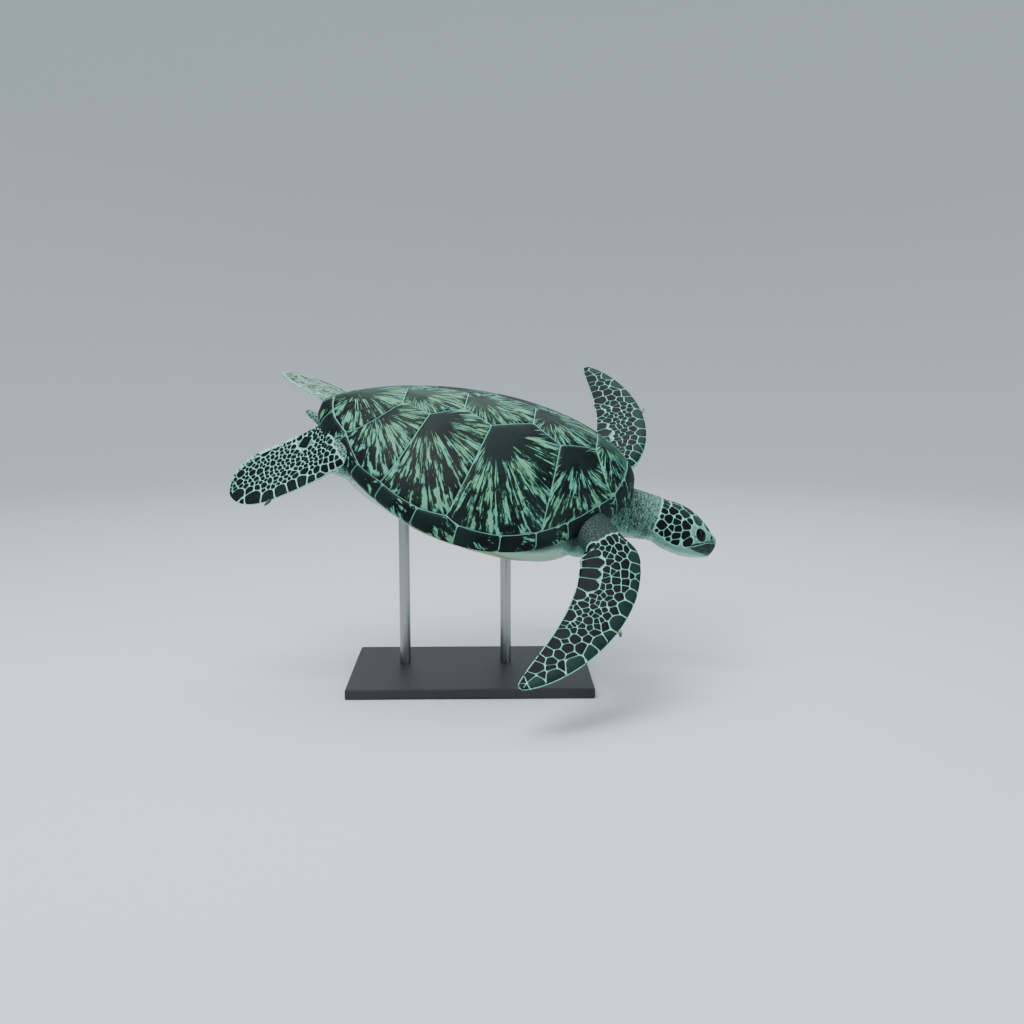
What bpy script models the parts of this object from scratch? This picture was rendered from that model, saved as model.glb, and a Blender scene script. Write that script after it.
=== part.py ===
"""Green sea turtle: a still, life-size display model, swimming, on a plain two-rod stand.

Units are metres, +Z up. The turtle points along +X, nose down and banked to its right (-Y).
It is shaped in its own frame: x forward, y to its left, z up from the plane of the shell's rim,
with the origin at the middle of the shell. The model's origin is the middle of the base's underside.
"""
import math

import bmesh
import bpy
from mathutils import Matrix, Quaternion, Vector

MODEL = "green_sea_turtle"
GAP = 0.0005                       # left between two pieces that touch
CUT = 0.0004                       # thickness of the cuts that part the flesh

# How the turtle hangs over its base
CENTRE_HEIGHT = 0.52
PITCH = math.radians(15.88)
BANK = math.radians(23.57)

# Shell
SHELL_LENGTH = 0.80
SHELL_HALF_WIDTH = 0.401 * SHELL_LENGTH
OUTLINE_LEAN = 0.915               # below 1 puts the widest place ahead of the middle
OUTLINE_FULLNESS = 0.647
RIDGE_END = 0.091 * SHELL_LENGTH
RIDGE_CROWN = 0.173 * SHELL_LENGTH
RIDGE_LEAN = 0.694
RIDGE_FULLNESS = 0.577
DOME_ROUND = 1.67
DOME_STEEP = 0.76
FRONT_RIM_RISE = 0.10 * SHELL_LENGTH
REAR_RIM_RISE = 0.06 * SHELL_LENGTH
RIM_THICKNESS = 0.010

# Underside
BELLY_DEPTH = 0.108
BREAST_DEPTH = 0.062               # how much deeper the body is at the shoulders
BELLY_HALF_WIDTH = 0.93            # share of the shell's half width
BELLY_ROUND = 3.4
PLASTRON_MIDDLE = -0.012
PLASTRON_LENGTH = 0.63
PLASTRON_LOBE = 0.142              # half width of its front and rear lobes
PLASTRON_BRIDGE = 0.098            # what the bridges add to that
PLASTRON_THICKNESS = 0.012

# Flippers: length, turn of the centre line from straight out, widest half chord and where it is
FRONT_FLIPPER = dict(length=0.468, start=math.radians(18.1), end=math.radians(-65.6), lean=0.486,
                     half_chord=0.0732, widest=0.084, root_taper=0.293, tip_round=0.629,
                     thickness=0.013, arm=0.031, inward=0.26)
REAR_FLIPPER = dict(length=0.283, start=math.radians(55.0), end=math.radians(75.0), lean=1.05,
                    half_chord=0.087, widest=0.62, root_taper=0.02, tip_round=0.49,
                    thickness=0.009, arm=0.026, inward=0.36)
# Side (-1 right, +1 left), root, and the turn of the blade out of the rim's plane, as a vector in degrees
FRONT_PLACES = {"flipper_front_right": (-1, (0.348, -0.229, 0.037), (17.0, -15.1, 17.7)),
                "flipper_front_left": (1, (0.348, 0.229, 0.011), (16.9, -15.0, -26.2))}
REAR_PLACES = {"flipper_rear_right": (-1, (-0.338, -0.098, 0.031), (26.5, -31.0, -9.8)),
               "flipper_rear_left": (1, (-0.322, 0.100, 0.034), (-18.0, 1.0, -16.4))}

# Head and neck
HEAD_BASE = Vector((0.470, 0.0, 0.030))
HEAD_PITCH = math.radians(14.0)
HEAD_ROLL = math.radians(-12.0)     # the head is held more level than the shell
HEAD_LENGTH = 0.183
# share of the length from the neck, half width, top and bottom from the head's axis
HEAD_STATIONS = ((0.00, 0.050, 0.044, -0.056),
                 (0.22, 0.058, 0.052, -0.066),
                 (0.42, 0.061, 0.053, -0.066),
                 (0.60, 0.055, 0.047, -0.062),
                 (0.76, 0.043, 0.036, -0.053),
                 (0.90, 0.029, 0.025, -0.042),
                 (1.00, 0.019, 0.015, -0.030))
NECK_START = Vector((0.270, 0.0, 0.004))
NECK_END = HEAD_BASE + Vector((0.02, 0.0, -0.010))
NECK_RADIUS_START = 0.080
NECK_RADIUS_END = 0.057
EYE_PLACE = (0.117, 0.0325, 0.023)             # along, out and up from the head's base
EYE_RADIUS = 0.0185
MOUTH_CORNER = (0.110, 0.0, -0.006)
MOUTH_RISE = math.radians(14.0)                # the mouth line rises towards the tip of the beak
JAW_SLANT = math.radians(28.0)

# Flesh that fills the shell's front and rear openings beside the neck and the tail
SHOULDER_PLACE = Vector((0.285, 0.115, -0.006))
SHOULDER_SIZE = Vector((0.085, 0.085, 0.058))
THIGH_PLACE = Vector((-0.285, 0.085, 0.004))
THIGH_SIZE = Vector((0.095, 0.080, 0.044))

# Tail
TAIL_START = Vector((-0.300, 0.0, -0.005))
TAIL_TIP = Vector((-0.437, 0.020, 0.036))
TAIL_RADIUS = 0.040

# Claws: share of the flipper's length where one sits on the leading edge
FRONT_CLAW = 0.46
REAR_CLAW = 0.62
CLAW_LENGTH = 0.022
CLAW_RADIUS = 0.005

# Where the flesh is parted
NECK_CUT = 0.372
TAIL_CUT = -0.392
FRONT_FLIPPER_CUT = 0.0
REAR_FLIPPER_CUT = 0.12

# Stand
BASE_SIZE = (0.60, 0.42, 0.025)
BASE_EDGE = 0.004
ROD_RADIUS = 0.014
ROD_PLACES = {"stand_rod_front": 0.125, "stand_rod_rear": -0.150}

COLOURS = {"carapace": (0.055, 0.16, 0.15), "plastron": (0.62, 0.66, 0.50), "skin": (0.22, 0.36, 0.31),
           "eye": (0.02, 0.03, 0.03), "claw": (0.35, 0.36, 0.28), "stand_base": (0.10, 0.10, 0.10),
           "stand_rod": (0.55, 0.55, 0.55)}
FINISHES = {"skin": (0.55, 0.0), "eye": (0.08, 0.0), "stand_base": (0.45, 0.0), "stand_rod": (0.25, 1.0)}


def clear_scene():
    for old in list(bpy.data.objects):
        bpy.data.objects.remove(old, do_unlink=True)


def new_collection(name):
    collection = bpy.data.collections.new(name)
    bpy.context.scene.collection.children.link(collection)
    return collection


def material(name):
    made = bpy.data.materials.get(name)
    if made:
        return made
    made = bpy.data.materials.new(name)
    made.use_nodes = True
    shader = made.node_tree.nodes["Principled BSDF"]
    shader.inputs["Base Color"].default_value = (*COLOURS[name], 1.0)
    roughness, metallic = FINISHES.get(name, (0.40, 0.0))
    shader.inputs["Roughness"].default_value = roughness
    shader.inputs["Metallic"].default_value = metallic
    return made


def add_object(name, shape, collection, finish=None):
    """Make an object from a bmesh and free it."""
    mesh = bpy.data.meshes.new(name)
    shape.normal_update()
    shape.to_mesh(mesh)
    shape.free()
    made = bpy.data.objects.new(name, mesh)
    collection.objects.link(made)
    if finish:
        mesh.materials.append(material(finish))
        mesh.shade_smooth()
        mesh.set_sharp_from_angle(angle=math.radians(40))
    return made


def to_world(point):
    """From the turtle's frame to the model's."""
    turn = Matrix.Rotation(PITCH, 3, "Y") @ Matrix.Rotation(BANK, 3, "X")
    return turn @ Vector(point) + Vector((0.0, 0.0, CENTRE_HEIGHT))


def reshaped_ball(around, rings, shape, axis="Z"):
    """A sphere whose points are moved by shape(unit point); its poles lie on the given axis."""
    ball = bmesh.new()
    bmesh.ops.create_uvsphere(ball, u_segments=around, v_segments=rings, radius=1.0)
    if axis == "X":
        bmesh.ops.rotate(ball, verts=ball.verts, matrix=Matrix.Rotation(math.radians(90), 3, "Y"))
    for vert in ball.verts:
        vert.co = to_world(shape(vert.co.copy()))
    bmesh.ops.triangulate(ball, faces=ball.faces)      # a bent quad could be read two ways
    return ball


def grown(source, amount, collection):
    """A copy of an object, swollen along its normals, used as a cutter."""
    shape = bmesh.new()
    shape.from_mesh(source.data)
    shape.normal_update()
    moves = [(vert, vert.normal * amount) for vert in shape.verts]
    for vert, move in moves:
        vert.co += move
    cutter = add_object(source.name + "_cutter", shape, collection)
    cutter.hide_render = True
    cutter.display_type = "WIRE"
    return cutter


def combine(target, tool, operation):
    """Apply an exact Boolean to the target's mesh."""
    modifier = target.modifiers.new(operation.lower(), "BOOLEAN")
    modifier.operation = operation
    modifier.solver = "EXACT"
    modifier.object = tool
    graph = bpy.context.evaluated_depsgraph_get()
    finished = bpy.data.meshes.new_from_object(target.evaluated_get(graph))
    target.modifiers.remove(modifier)
    old = target.data
    finished.name = old.name
    target.data = finished
    bpy.data.meshes.remove(old)


# Shell

def half_width(share):
    """Half width of the shell at a share of its length from the front."""
    share = min(max(share, 0.0), 1.0)
    return SHELL_HALF_WIDTH * max(math.sin(math.pi * share ** OUTLINE_LEAN), 0.0) ** OUTLINE_FULLNESS


def rim_height(share):
    return FRONT_RIM_RISE * max(1 - 2 * share, 0) ** 2 + REAR_RIM_RISE * max(2 * share - 1, 0) ** 2


def ridge_height(share):
    share = min(max(share, 0.0), 1.0)
    arch = max(math.sin(math.pi * share ** RIDGE_LEAN), 0.0) ** RIDGE_FULLNESS
    return RIDGE_END + RIDGE_CROWN * arch


def shell_top(x, y):
    share = 0.5 - x / SHELL_LENGTH
    edge = min(abs(y) / max(half_width(share), 1e-6), 1.0)
    rise = (1 - edge ** DOME_ROUND) ** DOME_STEEP
    return rim_height(share) + (ridge_height(share) - rim_height(share)) * rise


def belly(x, y):
    """Height of the body's underside."""
    share = 0.5 - x / SHELL_LENGTH
    wide = max(BELLY_HALF_WIDTH * half_width(share), 1e-6)
    edge = min(abs(y) / wide, 1.0)
    lengthways = max(1 - abs(x / (0.5 * SHELL_LENGTH)) ** 7, 0.0)
    depth = BELLY_DEPTH + BREAST_DEPTH * math.exp(-((x - 0.27) / 0.15) ** 2)
    return rim_height(share) - depth * lengthways * (1 - edge ** BELLY_ROUND)


def belly_inward(x, y):
    """Unit vector from the underside into the body."""
    step = 0.002
    across = (belly(x, y + step) - belly(x, y - step)) / (2 * step)
    along = (belly(x + step, y) - belly(x - step, y)) / (2 * step)
    return Vector((-along, -across, 1.0)).normalized()


def carapace_point(unit):
    reach = min(math.hypot(unit.x, unit.y), 1.0)
    angle = math.atan2(unit.y, unit.x)
    outline_x = 0.5 * SHELL_LENGTH * math.cos(angle)
    outline_y = math.copysign(half_width(0.5 - 0.5 * math.cos(angle)), math.sin(angle))
    x = reach * outline_x
    y = reach * outline_y
    if unit.z > 1e-4:
        return x, y, shell_top(x, y)
    drop = RIM_THICKNESS * min((1 - reach) / 0.012, 1.0)
    return x, y, rim_height(0.5 - x / SHELL_LENGTH) - drop


def trunk_point(unit):
    reach = min(math.hypot(unit.x, unit.y), 1.0)
    angle = math.atan2(unit.y, unit.x)
    x = reach * 0.455 * SHELL_LENGTH * math.cos(angle)
    share = 0.5 - 0.455 * math.cos(angle)
    y = reach * math.copysign(0.87 * half_width(share), math.sin(angle))
    ceiling = rim_height(0.5 - x / SHELL_LENGTH) - RIM_THICKNESS - 0.0025
    if unit.z > 1e-4:
        return x, y, ceiling
    return x, y, min(belly(x, y) + 0.003, ceiling - 0.004)


def plastron_half_width(x):
    """Two rounded lobes, widened in the middle by the bridges."""
    along = min(abs(x - PLASTRON_MIDDLE) / (0.5 * PLASTRON_LENGTH), 1.0)
    lobe = PLASTRON_LOBE * (1 - along ** 2.6) ** 0.55
    return lobe + PLASTRON_BRIDGE / (1 + (abs(x - 0.02) / 0.13) ** 6) * (1 - along ** 4)


def plastron_point(unit, thickness=PLASTRON_THICKNESS):
    reach = min(math.hypot(unit.x, unit.y), 1.0)
    angle = math.atan2(unit.y, unit.x)
    edge_x = PLASTRON_MIDDLE + 0.5 * PLASTRON_LENGTH * math.cos(angle)
    x = PLASTRON_MIDDLE + reach * (edge_x - PLASTRON_MIDDLE)
    y = reach * math.copysign(plastron_half_width(edge_x), math.sin(angle))
    depth = 0.25 * thickness if reach > 0.999 else 0.0
    if unit.z > 1e-4:
        depth = thickness
    return Vector((x, y, belly(x, y))) + belly_inward(x, y) * (depth - 0.004)


# Flippers

def centre_line(blade, share):
    """Point and heading on a flipper's middle line: out to the side, then forward, in its plane."""
    steps = 40
    out = along = 0.0
    reach = max(share, 0.0)
    for step in range(steps):
        middle = reach * (step + 0.5) / steps
        heading = blade["start"] + (blade["end"] - blade["start"]) * middle ** blade["lean"]
        out += math.cos(heading) * blade["length"] * reach / steps
        along += math.sin(heading) * blade["length"] * reach / steps
    heading = blade["start"] + (blade["end"] - blade["start"]) * reach ** blade["lean"]
    if share < 0:
        out += share * blade["length"] * math.cos(blade["start"])
        along += share * blade["length"] * math.sin(blade["start"])
    return out, along, heading


def half_chord(blade, share):
    if share < blade["widest"]:
        back = min((blade["widest"] - share) / blade["widest"], 1.0)
        return blade["half_chord"] * (1 - blade["root_taper"] * back ** 2)
    on = min((share - blade["widest"]) / (1 - blade["widest"]), 1.0)
    return blade["half_chord"] * max(1 - on ** 2, 0.0) ** blade["tip_round"]


def flipper_point(unit, blade, ahead, side, root, turn):
    """Poles at the hidden root and at the tip; the blade is thickest near its leading edge."""
    run = 0.5 + 0.5 * unit.x
    share = -blade["inward"] + (1 + blade["inward"]) * run
    chord = math.hypot(unit.y, unit.z)
    around = math.atan2(unit.z, unit.y)
    out, along, heading = centre_line(blade, share)
    half = half_chord(blade, share) * (1.0 if share > 0.5 else min(chord / 0.3, 1.0))
    across = math.cos(around)
    if ahead < 0:
        across = -across                     # the rear flipper's leading edge is its outer one
    fore = (1 + across) / 2
    fat = blade["thickness"] * (1 - 0.45 * max(share, 0.0)) * (0.35 + 0.9 * fore ** 0.8)
    arm = max(1 - max(share, 0.0) / 0.34, 0.0) ** 2
    fat += (blade["arm"] - fat) * arm
    fat *= min(math.sqrt(max(1 - max(share, 0.0) ** 8, 0.0)), min(chord / 0.3, 1.0))
    lift = math.sin(around) * fat
    shift = half * math.cos(around)
    flat_out = out - math.sin(heading) * shift
    flat_along = along + math.cos(heading) * shift
    return blade_to_turtle(flat_out, flat_along, lift, ahead, side, root, turn)


def blade_to_turtle(out, along, lift, ahead, side, root, turn):
    """From a flipper's own plane to the turtle's frame."""
    swing = Vector([math.radians(part) for part in turn])
    local = Vector((ahead * along, side * out, lift * side * ahead))
    return Quaternion(swing.normalized(), swing.length) @ local + Vector(root)


def leading_edge(blade, share, ahead, side, root, turn):
    """A point on the leading edge, and the way out from it, leaning to the tip."""
    out, along, heading = centre_line(blade, share)
    forward = ahead * half_chord(blade, share)
    point = blade_to_turtle(out - math.sin(heading) * forward, along + math.cos(heading) * forward,
                            0.0, ahead, side, root, turn)
    lean = heading + ahead * math.radians(50)
    beyond = blade_to_turtle(out - math.sin(heading) * forward + math.cos(lean),
                             along + math.cos(heading) * forward + math.sin(lean),
                             0.0, ahead, side, root, turn)
    return point, beyond - point


# Head, neck and tail

def eased(stations, share):
    """Read a row of stations with a smooth curve between them."""
    count = len(stations)
    index = max(row for row in range(count - 1) if stations[row][0] <= share or row == 0)
    low, high = stations[index], stations[index + 1]
    before = stations[max(index - 1, 0)]
    after = stations[min(index + 2, count - 1)]
    span = high[0] - low[0]
    part = (share - low[0]) / span
    values = []
    for column in range(1, len(low)):
        slope_low = (high[column] - before[column]) / (high[0] - before[0]) * span
        slope_high = (after[column] - low[column]) / (after[0] - low[0]) * span
        values.append((2 * part ** 3 - 3 * part ** 2 + 1) * low[column]
                      + (part ** 3 - 2 * part ** 2 + part) * slope_low
                      + (3 * part ** 2 - 2 * part ** 3) * high[column]
                      + (part ** 3 - part ** 2) * slope_high)
    return values


def head_frame(along, out, up):
    """From the head's own frame, nose down from the trunk's, to the turtle's."""
    turn = Matrix.Rotation(HEAD_PITCH, 3, "Y") @ Matrix.Rotation(HEAD_ROLL, 3, "X")
    return HEAD_BASE + turn @ Vector((along, out, up))


def head_point(unit):
    share = 0.5 + 0.5 * unit.x
    wide, top, bottom = eased(HEAD_STATIONS, share)
    around = math.atan2(unit.z, unit.y)
    blunt = math.sqrt(max(1 - (max(share - 0.93, 0) / 0.07) ** 2, 0)) if share < 1 else 0
    closing = min(math.hypot(unit.y, unit.z) / 0.3, 1.0) if share < 0.2 else blunt
    side = math.copysign(abs(math.cos(around)) ** 0.86, math.cos(around))
    rise = math.copysign(abs(math.sin(around)) ** 0.86, math.sin(around))
    middle = (top + bottom) / 2
    up = middle + (top - bottom) / 2 * rise * closing
    return head_frame(share * HEAD_LENGTH, wide * side * closing, up)


def rod_of_flesh(unit, start, end, radius_start, radius_end, squash):
    share = 0.5 + 0.5 * unit.x
    around = math.atan2(unit.z, unit.y)
    closing = min(math.hypot(unit.y, unit.z) / 0.4, 1.0)
    radius = (radius_start + (radius_end - radius_start) * share) * closing
    middle = Vector(start).lerp(Vector(end), share)
    return middle + Vector((0.0, radius * math.cos(around), radius * squash * math.sin(around)))


def build_shell(parts):
    carapace = add_object("carapace", reshaped_ball(48, 18, carapace_point), parts, "carapace")
    plastron = add_object("plastron", reshaped_ball(32, 8, plastron_point), parts, "plastron")
    return carapace, plastron


def build_flesh(parts, hidden):
    """Trunk, neck, head, tail and flippers as one body, still to be parted."""
    flesh = add_object("flesh", reshaped_ball(28, 10, trunk_point), hidden, "skin")
    tools = [reshaped_ball(20, 10, lambda unit: rod_of_flesh(unit, NECK_START, NECK_END, NECK_RADIUS_START,
                                                               NECK_RADIUS_END, 1.0), "X"),
             reshaped_ball(22, 18, head_point, "X"),
             reshaped_ball(12, 8, lambda unit: rod_of_flesh(unit, TAIL_START, TAIL_TIP, TAIL_RADIUS,
                                                              0.008, 0.8), "X")]
    for place, size in ((SHOULDER_PLACE, SHOULDER_SIZE), (THIGH_PLACE, THIGH_SIZE)):
        for side in (-1, 1):
            middle = Vector((place.x, side * place.y, place.z))
            tools.append(reshaped_ball(12, 8, lambda unit: middle + unit * size))
    for blade, ahead, places, rings in ((FRONT_FLIPPER, 1, FRONT_PLACES, 22),
                                        (REAR_FLIPPER, -1, REAR_PLACES, 18)):
        for side, root, turn in places.values():
            tools.append(reshaped_ball(14, rings, lambda unit: flipper_point(unit, blade, ahead, side, root,
                                                                             turn), "X"))
    for number, shape in enumerate(tools):
        if shape.calc_volume(signed=True) < 0:
            bmesh.ops.reverse_faces(shape, faces=shape.faces)
        tool = add_object("flesh_piece_%d" % number, shape, hidden)
        combine(flesh, tool, "UNION")
    return flesh


def build_eyes(parts):
    made = []
    for name, side in (("eye_right", -1), ("eye_left", 1)):
        along, out, up = EYE_PLACE
        centre = head_frame(along, side * out, up)
        ball = reshaped_ball(16, 10, lambda unit: centre + unit * EYE_RADIUS)
        made.append(add_object(name, ball, parts, "eye"))
    return made


def build_claws(parts):
    """One short blunt nail on the leading edge of each flipper."""
    made = []
    for blade, ahead, places, share in ((FRONT_FLIPPER, 1, FRONT_PLACES, FRONT_CLAW),
                                        (REAR_FLIPPER, -1, REAR_PLACES, REAR_CLAW)):
        for flipper, (side, root, turn) in places.items():
            point, outward = leading_edge(blade, share, ahead, side, root, turn)
            nail = bmesh.new()
            bmesh.ops.create_cone(nail, cap_ends=True, segments=12, radius1=CLAW_RADIUS,
                                  radius2=0.2 * CLAW_RADIUS, depth=CLAW_LENGTH)
            swing = Vector((0, 0, 1)).rotation_difference(outward)
            for vert in nail.verts:
                vert.co = to_world(point + outward * 0.2 * CLAW_LENGTH + swing @ vert.co)
            made.append(add_object(flipper.replace("flipper", "claw"), nail, parts, "claw"))
    return made


def slab(name, place, normal, size, hidden):
    """A thin plate, a cutter that parts the flesh: size is its width along and across."""
    shape = bmesh.new()
    bmesh.ops.create_cube(shape, size=1.0)
    swing = Vector((0, 0, 1)).rotation_difference(Vector(normal))
    for vert in shape.verts:
        flat = Vector((vert.co.x * size[0], vert.co.y * size[1], vert.co.z * CUT))
        vert.co = to_world(Vector(place) + swing @ flat)
    return add_object(name, shape, hidden)


def part_flesh(flesh, hidden):
    """Cut the one body through at the neck, the jaw, the tail and each flipper's root."""
    head_axis = head_frame(1, 0, 0) - head_frame(0, 0, 0)
    cuts = [slab("cut_head", head_frame(0.016, 0, -0.006), head_axis, (0.17, 0.17), hidden),
            slab("cut_neck", (NECK_CUT, 0, -0.004), (1, 0, 0), (0.20, 0.17), hidden),
            slab("cut_tail", (TAIL_CUT, 0.010, 0.026), (1, 0, 0), (0.09, 0.06), hidden)]
    for blade, ahead, places, share in ((FRONT_FLIPPER, 1, FRONT_PLACES, FRONT_FLIPPER_CUT),
                                        (REAR_FLIPPER, -1, REAR_PLACES, REAR_FLIPPER_CUT)):
        for name, (side, root, turn) in places.items():
            out, along, heading = centre_line(blade, share)
            point = blade_to_turtle(out, along, 0.0, ahead, side, root, turn)
            beyond = blade_to_turtle(out + math.cos(heading), along + math.sin(heading), 0.0,
                                     ahead, side, root, turn)
            width = 2.3 * half_chord(blade, share)
            cuts.append(slab("cut_" + name, point, beyond - point, (width, width), hidden))
    for cut in cuts:
        combine(flesh, cut, "DIFFERENCE")


def jaw_block(hidden):
    """The space below the mouth line and ahead of the jaw's hinge, a cutter."""
    along, out, up = MOUTH_CORNER
    block = bmesh.new()
    bmesh.ops.create_cube(block, size=1.0)
    for vert in block.verts:
        forward = vert.co.x + 0.5
        if vert.co.z > 0:
            place = (along + 0.12 * forward * math.cos(MOUTH_RISE),
                     up + 0.12 * forward * math.sin(MOUTH_RISE))
        else:
            place = (along - 0.10 * math.sin(JAW_SLANT) + 0.18 * forward, up - 0.10 * math.cos(JAW_SLANT))
        vert.co = to_world(head_frame(place[0], 0.16 * vert.co.y, place[1]))
    return add_object("jaw_block", block, hidden)


def part_jaw(parts, hidden):
    """Free the lower jaw from the head."""
    head = bpy.data.objects["head"]
    jaw = bpy.data.objects.new("jaw_lower", head.data.copy())
    parts.objects.link(jaw)
    block = jaw_block(hidden)
    combine(jaw, block, "INTERSECT")
    combine(head, grown(block, GAP, hidden), "DIFFERENCE")


def loose_bodies(shape):
    """Lists of faces that hang together."""
    shape.faces.ensure_lookup_table()
    left = set(shape.faces)
    bodies = []
    while left:
        queue = [left.pop()]
        body = []
        while queue:
            face = queue.pop()
            body.append(face)
            for edge in face.edges:
                for other in edge.link_faces:
                    if other in left:
                        left.discard(other)
                        queue.append(other)
        bodies.append(body)
    return bodies


def name_points():
    """A point well inside each piece of flesh."""
    points = {"head": head_frame(0.090, 0, 0), "neck": Vector((0.430, 0, 0.005)),
              "trunk": Vector((0, 0, -0.03)), "tail": TAIL_TIP}
    for blade, ahead, places in ((FRONT_FLIPPER, 1, FRONT_PLACES), (REAR_FLIPPER, -1, REAR_PLACES)):
        for name, (side, root, turn) in places.items():
            out, along, heading = centre_line(blade, 0.5)
            points[name] = blade_to_turtle(out, along, 0.0, ahead, side, root, turn)
    return {name: to_world(point) for name, point in points.items()}


def split_flesh(flesh, parts):
    """Each loose body becomes an object, named by the nearest point."""
    whole = bmesh.new()
    whole.from_mesh(flesh.data)
    middles = []
    for body in loose_bodies(whole):
        area = sum(face.calc_area() for face in body)
        middle = sum((face.calc_center_median() * face.calc_area() for face in body), Vector()) / area
        middles.append((body, middle, area))
    for name, point in name_points().items():
        body = min(middles, key=lambda found: (found[1] - point).length)[0]
        keep = set(body)
        piece = whole.copy()
        piece.faces.ensure_lookup_table()
        whole.faces.index_update()
        wanted = {face.index for face in keep}
        spare = [face for face in piece.faces if face.index not in wanted]
        bmesh.ops.delete(piece, geom=spare, context="FACES")
        add_object(name, piece, parts, "skin")
    whole.free()


def build_stand(parts, hidden):
    """A flat base, and two rods that end against the plastron."""
    base = bmesh.new()
    bmesh.ops.create_cube(base, size=1.0)
    for vert in base.verts:
        vert.co = Vector((vert.co.x * BASE_SIZE[0], vert.co.y * BASE_SIZE[1],
                          (vert.co.z + 0.5) * BASE_SIZE[2]))
    plate = add_object("stand_base", base, parts, "stand_base")
    bevel = plate.modifiers.new("edge", "BEVEL")
    bevel.width = BASE_EDGE
    bevel.segments = 2
    deep = reshaped_ball(36, 10, lambda unit: plastron_point(unit, 0.10))
    above = add_object("above_belly", deep, hidden)
    limit = grown(above, GAP, hidden)
    plate_space = grown(bpy.data.objects["plastron"], GAP, hidden)
    for name, x in ROD_PLACES.items():
        top = to_world((x, 0.0, belly(x, 0.0)))
        low = BASE_SIZE[2] + GAP
        high = top.z + 0.03
        rod = bmesh.new()
        bmesh.ops.create_cone(rod, cap_ends=True, segments=24, radius1=ROD_RADIUS, radius2=ROD_RADIUS,
                              depth=high - low)
        bmesh.ops.translate(rod, verts=rod.verts, vec=(top.x, top.y, (low + high) / 2))
        made = add_object(name, rod, parts, "stand_rod")
        combine(made, limit, "DIFFERENCE")
        combine(made, plate_space, "DIFFERENCE")


def main():
    clear_scene()
    parts = new_collection(MODEL)
    hidden = new_collection("cutters")
    flesh = build_flesh(parts, hidden)
    for piece in (*build_shell(parts), *build_eyes(parts), *build_claws(parts)):
        combine(flesh, grown(piece, GAP, hidden), "DIFFERENCE")
    part_flesh(flesh, hidden)
    split_flesh(flesh, parts)
    part_jaw(parts, hidden)
    build_stand(parts, hidden)
    for tool in hidden.objects:
        tool.hide_render = True
        tool.display_type = "WIRE"


main()
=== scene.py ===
import math
import bmesh
import bpy
import numpy as np
from mathutils import Matrix, Vector, bvhtree, geometry, kdtree


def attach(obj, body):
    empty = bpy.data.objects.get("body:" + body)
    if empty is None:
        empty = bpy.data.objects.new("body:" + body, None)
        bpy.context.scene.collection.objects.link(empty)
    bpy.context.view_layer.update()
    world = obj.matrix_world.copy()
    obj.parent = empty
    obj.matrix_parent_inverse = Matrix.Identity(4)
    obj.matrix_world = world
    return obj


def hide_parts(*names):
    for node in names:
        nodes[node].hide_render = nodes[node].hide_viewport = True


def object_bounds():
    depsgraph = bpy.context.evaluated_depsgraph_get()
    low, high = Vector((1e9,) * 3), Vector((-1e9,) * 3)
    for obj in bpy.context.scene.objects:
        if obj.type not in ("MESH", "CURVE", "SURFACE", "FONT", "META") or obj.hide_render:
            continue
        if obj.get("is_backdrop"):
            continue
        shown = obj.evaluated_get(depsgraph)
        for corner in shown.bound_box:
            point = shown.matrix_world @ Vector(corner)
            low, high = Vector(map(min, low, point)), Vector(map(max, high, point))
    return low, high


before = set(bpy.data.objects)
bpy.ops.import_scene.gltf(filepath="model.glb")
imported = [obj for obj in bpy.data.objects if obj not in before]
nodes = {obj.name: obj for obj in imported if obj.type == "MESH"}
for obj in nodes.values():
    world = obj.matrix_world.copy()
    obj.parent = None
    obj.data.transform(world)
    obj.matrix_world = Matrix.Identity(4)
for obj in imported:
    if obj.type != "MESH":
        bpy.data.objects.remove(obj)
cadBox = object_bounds()

# Everything about the turtle is worked out in its own frame, x forward, y to its left and z up
# from the middle of the shell, and then turned and lifted over the stand.
pose = {"height": 0.52, "pitch": 15.88, "bank": 23.57}


def turnFrom(pitch, bank):
    p, b = math.radians(pitch), math.radians(bank)
    aboutY = np.array([[math.cos(p), 0, math.sin(p)], [0, 1, 0], [-math.sin(p), 0, math.cos(p)]])
    aboutX = np.array([[1, 0, 0], [0, math.cos(b), -math.sin(b)], [0, math.sin(b), math.cos(b)]])
    return aboutY @ aboutX


bodyTurn = turnFrom(pose["pitch"], pose["bank"])


def toWorld(points):
    return np.asarray(points) @ bodyTurn.T + [0, 0, pose["height"]]


def toBody(points):
    return (np.asarray(points) - [0, 0, pose["height"]]) @ bodyTurn


def step(low, high, value):
    # smooth ramp from 0 to 1
    part = np.clip((value - low) / (high - low), 0, 1)
    return part * part * (3 - 2 * part)


# ---- finishes ----

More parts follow.
